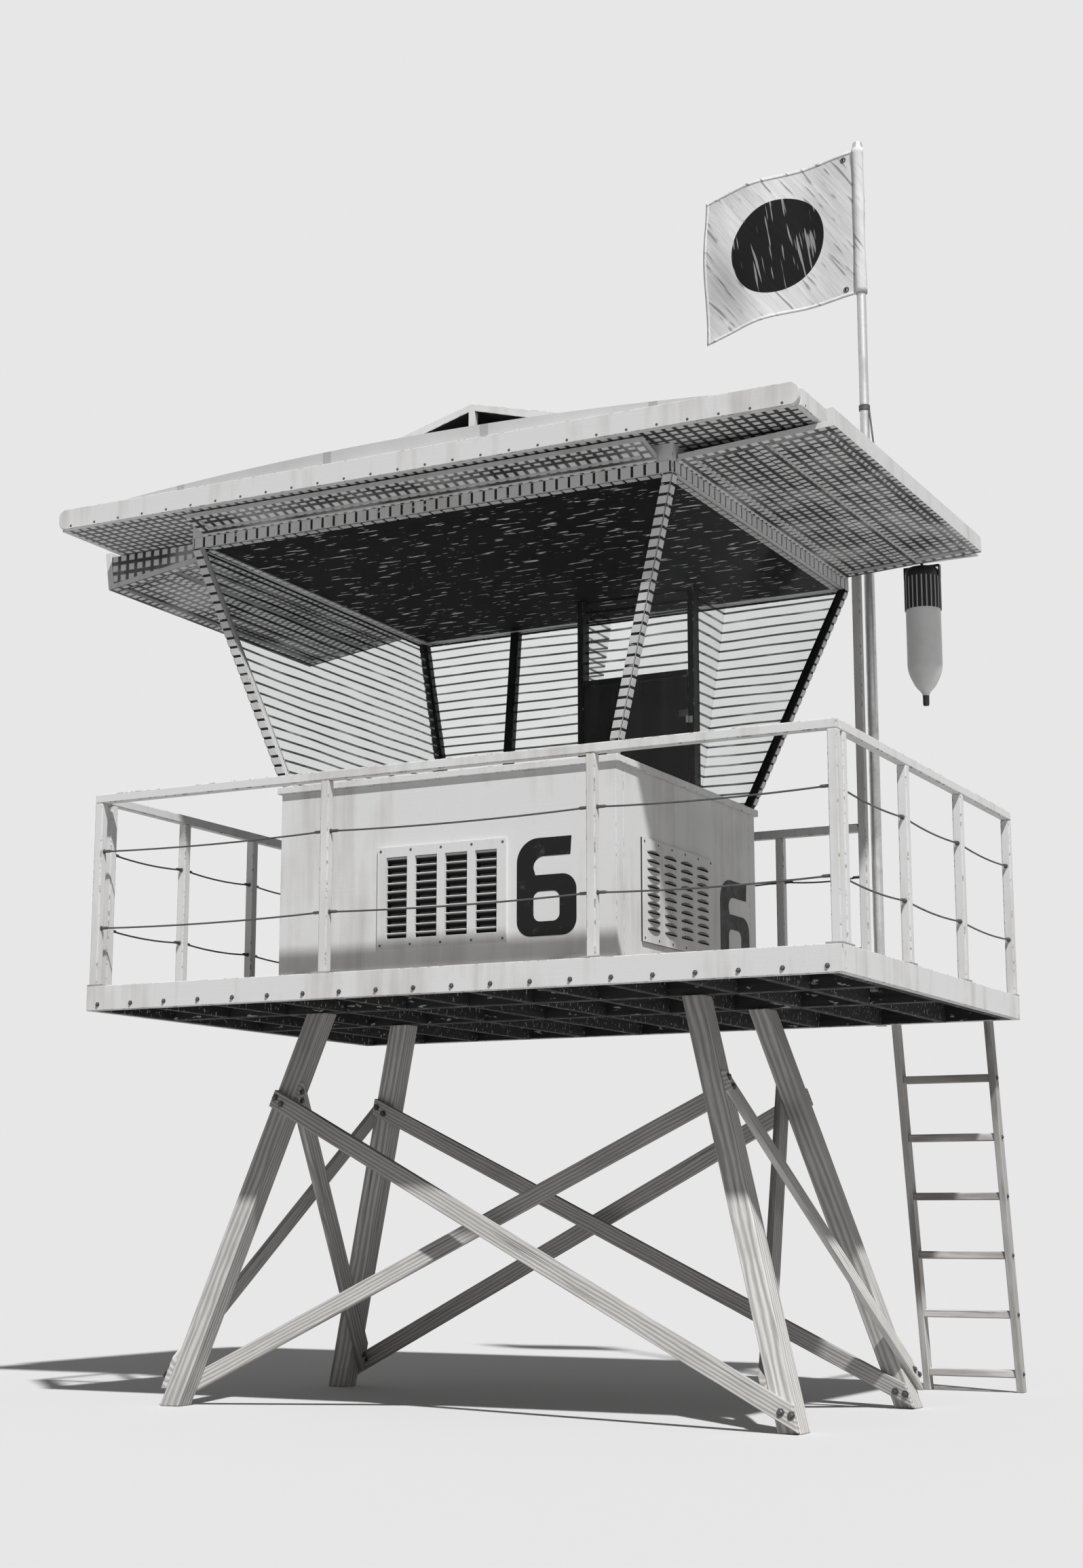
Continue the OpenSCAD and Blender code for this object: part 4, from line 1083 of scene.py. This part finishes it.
def numeral(name, corner, right, outward, widen=1.0):
    """The 6 as a thick coat of paint, from its lower left corner on a wall."""
    curve = bpy.data.curves.new(name, "CURVE")
    curve.dimensions = "2D"
    curve.fill_mode = "BOTH"
    curve.extrude = NUMBER_T / 2
    for outline in six_outline():
        line = curve.splines.new("POLY")
        line.points.add(len(outline) - 1)
        line.use_cyclic_u = True
        for point, (x, y) in zip(line.points, outline):
            point.co = (x, y, 0, 1)
    shape = put(name + "_line", curve)
    bpy.context.view_layer.update()
    mesh = bpy.data.meshes.new_from_object(shape)
    bpy.data.objects.remove(shape)
    bm = bmesh.new()
    bm.from_mesh(mesh)
    weld(bm)
    for vert in bm.verts:
        x, y, z = vert.co
        vert.co = Vector(corner) + right * x * widen + Z * y + outward * (z + NUMBER_T / 2)
    tidy_normals(bm)
    show(name, bm, "white_paint", "numeral_paint")


def numerals():
    low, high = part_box("front_wall")
    left = high.x - FRONT_FROM_RIGHT - NUMBER_W
    numeral("number_front", (left, low.y, low.z + FRONT_UP), X, -Y)
    low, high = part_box("right_wall")
    start = high.y - SIDE_FROM_REAR - NUMBER_W * SIDE_WIDEN
    numeral("number_side", (high.x, start, low.z + SIDE_UP), Y, X, SIDE_WIDEN)


# Louvre hoods of the punched side vent

VENT_STRIP = 0.05
VENT_SLEEVE = 0.006
VENT_COLS = 4
VENT_ROWS = 10
HOOD_H = 0.017
HOOD_OUT = 0.014
HOOD_T = 0.0015
HOOD_DROP = 0.002
HOOD_ENDS = 0.02
HOOD_FULL = 0.6


def louvre_hoods(across=12, down=4):
    """An arched eyelid over each slot."""
    low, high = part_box("side_vent")
    column = (high.y - low.y - (VENT_COLS + 1) * VENT_STRIP) / VENT_COLS
    pitch = (high.z - low.z - 2 * VENT_STRIP) / VENT_ROWS
    turns = [math.pi / 2 * k / down for k in range(down + 1)]
    bm = bmesh.new()
    for c, r in itertools.product(range(VENT_COLS), range(VENT_ROWS)):
        y = low.y + VENT_STRIP + c * (column + VENT_STRIP) + VENT_SLEEVE
        z = low.z + VENT_STRIP + (r + 0.5) * pitch - HOOD_DROP
        rows = []
        for i in range(across + 1):
            arch = max(HOOD_ENDS, math.sin(math.pi * i / across)) ** HOOD_FULL
            edge = Vector((high.x, y + (column - 2 * VENT_SLEEVE) * i / across, z))
            rows.append([bm.verts.new(edge + X * HOOD_OUT * arch * math.sin(turn)
                                      + Z * HOOD_H * arch * math.cos(turn)) for turn in turns])
        skin(bm, rows, closed=False)
    thicken(show("louvre_hoods", bm, "louvre_metal", "dark_steel", smooth=True), HOOD_T, -1)


# Flag: its place at the pole, its fall, its swing from side to side, and its smaller waves

FLAG_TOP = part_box("flag")[1]
FLAG_Y = middle("flag").y
FLAG_RUN = 0.965 * FLAG_W
FLAG_DROOP = 0.135
FLAG_SWING = 0.037
FLAG_TURN = math.radians(400)
FLAG_TWIST = 0.012
FLAG_CURL = 0.03
# Ripples, as their size, their waves along and up the flag, and their start
RIPPLES = ((0.011, 9, 5.5, 0), (0.006, 17, -7, 1))
FLAG_THICK = 0.0012
EYELET_LIFT = 0.0006
EYELET_IN = 0.065
EYELET_UP = 0.05
HEM_W = 0.024
HEM_T = 0.003
SLEEVE_R = 0.036
SLEEVE_CLEAR = 0.003
POLE_TOP_R = 0.03
# The hem's and the sleeve's flat coordinates start off the sheet, clear of its disc
HEM_FLAT = -3
SLEEVE_FLAT = -1


def flag_point(u, v):
    """A point of the hanging flag: u from hoist to fly, v from foot to head."""
    droop = FLAG_DROOP * (0.2 * u + 0.8 * u ** 1.3)
    twist = FLAG_TWIST * math.sin(6 * u + 2) * u * (2 * v - 1)
    sway = FLAG_SWING * math.sin(u * FLAG_TURN) * min(1, 3 * u)
    ripple = u * sum(size * math.sin(a * u + b * v + start) for size, a, b, start in RIPPLES)
    curl = FLAG_CURL * math.sin(7 * v + 0.6) * u ** 3
    return Vector((FLAG_TOP.x - FLAG_RUN * u, FLAG_Y + sway + ripple + curl,
                   FLAG_TOP.z - FLAG_H * (1 - v) - droop + twist))


def flag_pair(u, v, start=0):
    """A point of the flag and its flat coordinates."""
    return flag_point(u, v), (u * FLAG_W + start, v * FLAG_H, 0)


def cloth(name, rows, thickness, offset=0, closed=False):
    """A piece of cloth of rows of (point, flat coordinates) pairs."""
    bm = bmesh.new()
    flat = bm.verts.layers.float_vector.new("flat")
    made = []
    for pairs in rows:
        made.append([bm.verts.new(point) for point, place in pairs])
        for vert, (point, place) in zip(made[-1], pairs):
            vert[flat] = Vector(place)
    skin(bm, made, closed)
    weld(bm)
    piece = show(name, bm, "flag_cloth", smooth=True)
    thicken(piece, thickness, offset)
    return piece


def flag_sleeve(rings=30, sides=28):
    """The hoist's pocket for the pole, a little puffed and creased."""
    pole = middle("flagpole")
    rows = []
    for t in (i / rings for i in range(rings + 1)):
        z = FLAG_TOP.z - FLAG_H * (1 - t) + 0.002 * math.sin(40 * t)
        puff = 1 + 0.05 * math.sin(13 * t) + 0.09 * (abs(2 * t - 1) ** 8)
        pairs = []
        for a in (math.tau * k / sides for k in range(sides)):
            r = max(SLEEVE_R * puff * (1 + 0.035 * math.sin(3 * a + 9 * t)), POLE_TOP_R + SLEEVE_CLEAR)
            pairs.append(((pole.x + r * math.cos(a), pole.y + r * math.sin(a), z),
                          (SLEEVE_FLAT - a * SLEEVE_R, t * FLAG_H, 0)))
        rows.append(pairs)
    return cloth("flag_sleeve", rows, FLAG_THICK, -1, True)


def flag_hem(count=90):
    """The flag's doubled edge along its head, fly and foot."""
    end_u, end_v = 1 - HEM_W / FLAG_W, 1 - HEM_W / FLAG_H
    steps = [t / count for t in range(count + 1)]
    outer = [(t, 1) for t in steps] + [(1, 1 - t) for t in steps[1:]] + [(1 - t, 0) for t in steps[1:]]
    rows = [[flag_pair(u, v, HEM_FLAT), flag_pair(min(u, end_u), min(max(v, 1 - end_v), end_v), HEM_FLAT)]
            for u, v in outer]
    return cloth("flag_hem", rows, HEM_T)


def make_flag(columns=72, rows=56):
    """The flag with its sleeve, its hem, and metal rings on both sides near the hoist's two ends."""
    pairs = [[flag_pair(i / columns, k / rows) for i in range(columns + 1)] for k in range(rows + 1)]
    sheet = cloth("flag_sheet", pairs, FLAG_THICK)
    sleeve = flag_sleeve()
    hem = flag_hem()
    places = [(flag_point(EYELET_IN, v) + side * EYELET_LIFT, side)
              for v in (1 - EYELET_UP, EYELET_UP) for side in (-Y, Y)]
    eyelets = fasteners("flag_eyelets", places, EYELET, 16)
    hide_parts("flag")


# Rescue can from the tip up: its tip, a flared nose, the body and a rounded head. Shares are of its
# radius.

CAN_TIP_RINGS = [(0.008, 0), (0.016, 0.002), (0.0195, 0.01), (0.02, 0.06), (0.024, 0.078),
                 (0.034, 0.093), (0.05, 0.108)]
NOSE_FROM = 0.128
NOSE_H = 0.13
NOSE_SHARE = 0.6
BODY_TO_TOP = 0.075
HEAD_H = 0.05
HEAD_SHARE = 0.995
HEAD_ROUND = 0.25
HEAD_FLAT = 0.4
RIB_PLACES = (0.34, 0.36, 0.38)
RIB_SHARE = 0.98
RIB_PROUD = 0.0005


def rescue_can(sides=56, nose=8, head=6):
    """The moulded can, turned, with three ribs round its body."""
    low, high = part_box("rescue_can")
    r = (high.x - low.x) / 2
    centre = middle("rescue_can")
    centre.z = low.z
    top = high.z - low.z
    profile = list(CAN_TIP_RINGS)
    for i in range(nose + 1):
        share = NOSE_SHARE + (1 - NOSE_SHARE) * math.sin(math.pi / 2 * i / nose)
        profile.append((r * share, NOSE_FROM + NOSE_H * i / nose))
    profile.append((r, top - BODY_TO_TOP))
    for turn in (math.pi / 2 * i / head for i in range(head + 1)):
        share = HEAD_SHARE - HEAD_ROUND * (1 - math.cos(turn))
        profile.append((r * share, top - HEAD_H * (1 - math.sin(turn))))
    profile.append((r * HEAD_FLAT, top))
    bm = bmesh.new()
    add_turned(bm, centre, Z, profile, sides)
    piece = show("rescue_can_shell", bm, "can_plastic", smooth=True)
    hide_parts("rescue_can")
    proud = r + RIB_PROUD
    rib = [(r * RIB_SHARE, 0), (proud, 0.002), (proud, 0.005), (r * RIB_SHARE, 0.007)]
    ribs = bmesh.new()
    for z in RIB_PLACES:
        add_turned(ribs, centre + Z * z, Z, rib, sides)
    show("rescue_can_ribs", ribs, "can_plastic", smooth=True)


# Pole stay: its rod, its foot plate's half sides, and its collar's rings over the pole's own radius

STAY_R = 0.006
STAY_UP = 1.0
STAY_OUT = 0.15
STAY_FOOT_UP = 0.03
FOOT_HALF_W = 0.02
FOOT_HALF_H = 0.035
FOOT_UP = 0.02
COLLAR = ((0.001, 0), (0.006, 0.004), (0.006, 0.036), (0.001, 0.04))
COLLAR_HALF = 0.02


def pole_stay():
    """A thin rod from the pole down to the roof's rear edge."""
    pole = middle("flagpole")
    low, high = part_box("roof_edges")
    foot = Vector((pole.x + STAY_OUT, high.y + STAY_R, low.z + STAY_FOOT_UP))
    head = Vector((pole.x + POLE_TOP_R, pole.y, high.z + STAY_UP))
    run = head - foot
    bm = bmesh.new()
    add_turned(bm, foot, run, [(STAY_R, 0), (STAY_R, run.length)], 10)
    add_block(bm, foot + Z * FOOT_UP - Y * STAY_R / 2, X * FOOT_HALF_W, Y * STAY_R / 2, Z * FOOT_HALF_H)
    add_turned(bm, (pole.x, pole.y, head.z - COLLAR_HALF), Z,
               [(POLE_TOP_R + width, height) for width, height in COLLAR], 24)
    show("pole_stay", bm, "galvanised_steel", "dark_steel", smooth=True)


# CAD nodes whose shape stays

KEPT = {
    "window_glass": "window_glass", "ceiling": "dark_ceiling", "roof_deck": "roof_membrane",
    "front_vent": "front_louvre", "side_vent": "side_louvre", "flagpole": "pole_aluminium",
    "pole_clamps": "galvanised_steel", "can_strap": "webbing", "door_hardware": "dark_steel",
    "frame_hinges": "galvanised_steel", "rail_cables": "dark_steel",
}


def dress_kept():
    for node, material in KEPT.items():
        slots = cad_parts[node].data.materials
        slots.clear()
        slots.append(MATERIALS[material])


# Floor and light

def seen_rays(s):
    """1 for rays from the camera, a gloss or through glass."""
    rays = s.add("LightPath").outputs
    seen = s.maths("MAXIMUM", rays["Is Camera Ray"], rays["Is Glossy Ray"])
    return s.maths("MAXIMUM", seen, rays["Is Transmission Ray"])


def lay_floor():
    """A plain pale floor that keeps shadows and fades into the background far off."""
    s = Shader("floor")
    seen = seen_rays(s)
    distance = s.add("VectorMath", {0: s.place}, operation="LENGTH").outputs["Value"]
    far = s.range(distance, FADE_START, FADE_END)
    s.blend(s.times(far, seen), s.surface, s.add("Emission", {"Strength": BACKGROUND}))
    mesh = bpy.data.meshes.new("floor")
    h = FLOOR_HALF
    mesh.from_pydata([(-h, -h, 0), (h, -h, 0), (h, h, 0), (-h, h, 0)], [], [(0, 1, 2, 3)])
    mesh.materials.append(s.finish(s.mix(seen, grey(0.4), grey(0.63)), 0.9))
    floor = put("floor", mesh)


def place_light():
    key = bpy.data.lights.new("key", "SUN")
    key.energy = KEY_STRENGTH
    key.angle = KEY_ANGLE
    lamp = put("key", key)
    lamp.rotation_mode = "QUATERNION"
    lamp.rotation_quaternion = KEY_FROM.to_track_quat("Z", "Y")
    world = bpy.data.worlds.new("surround")
    bpy.context.scene.world = world
    world.use_nodes = True
    s = Nodes(world.node_tree, "World Output")
    light = s.nodes["Background"]
    s.feed(light.inputs["Color"], WHITE)
    s.feed(light.inputs["Strength"], SURROUND)
    s.blend(seen_rays(s), light, s.add("Background", {"Color": WHITE, "Strength": BACKGROUND}))


boards()
deck_boards()
rim_bolts()
fascia_screws()
brace_bolts()
ladder_bolts()
post_plates()
cable_ends()
vent_screws()
cover_strips()
shutter_ends()
numerals()
louvre_hoods()
make_flag()
rescue_can()
pole_stay()
dress_kept()
lay_floor()
place_light()

bpy.context.scene.view_settings.view_transform = "Standard"

bpy.context.view_layer.update()
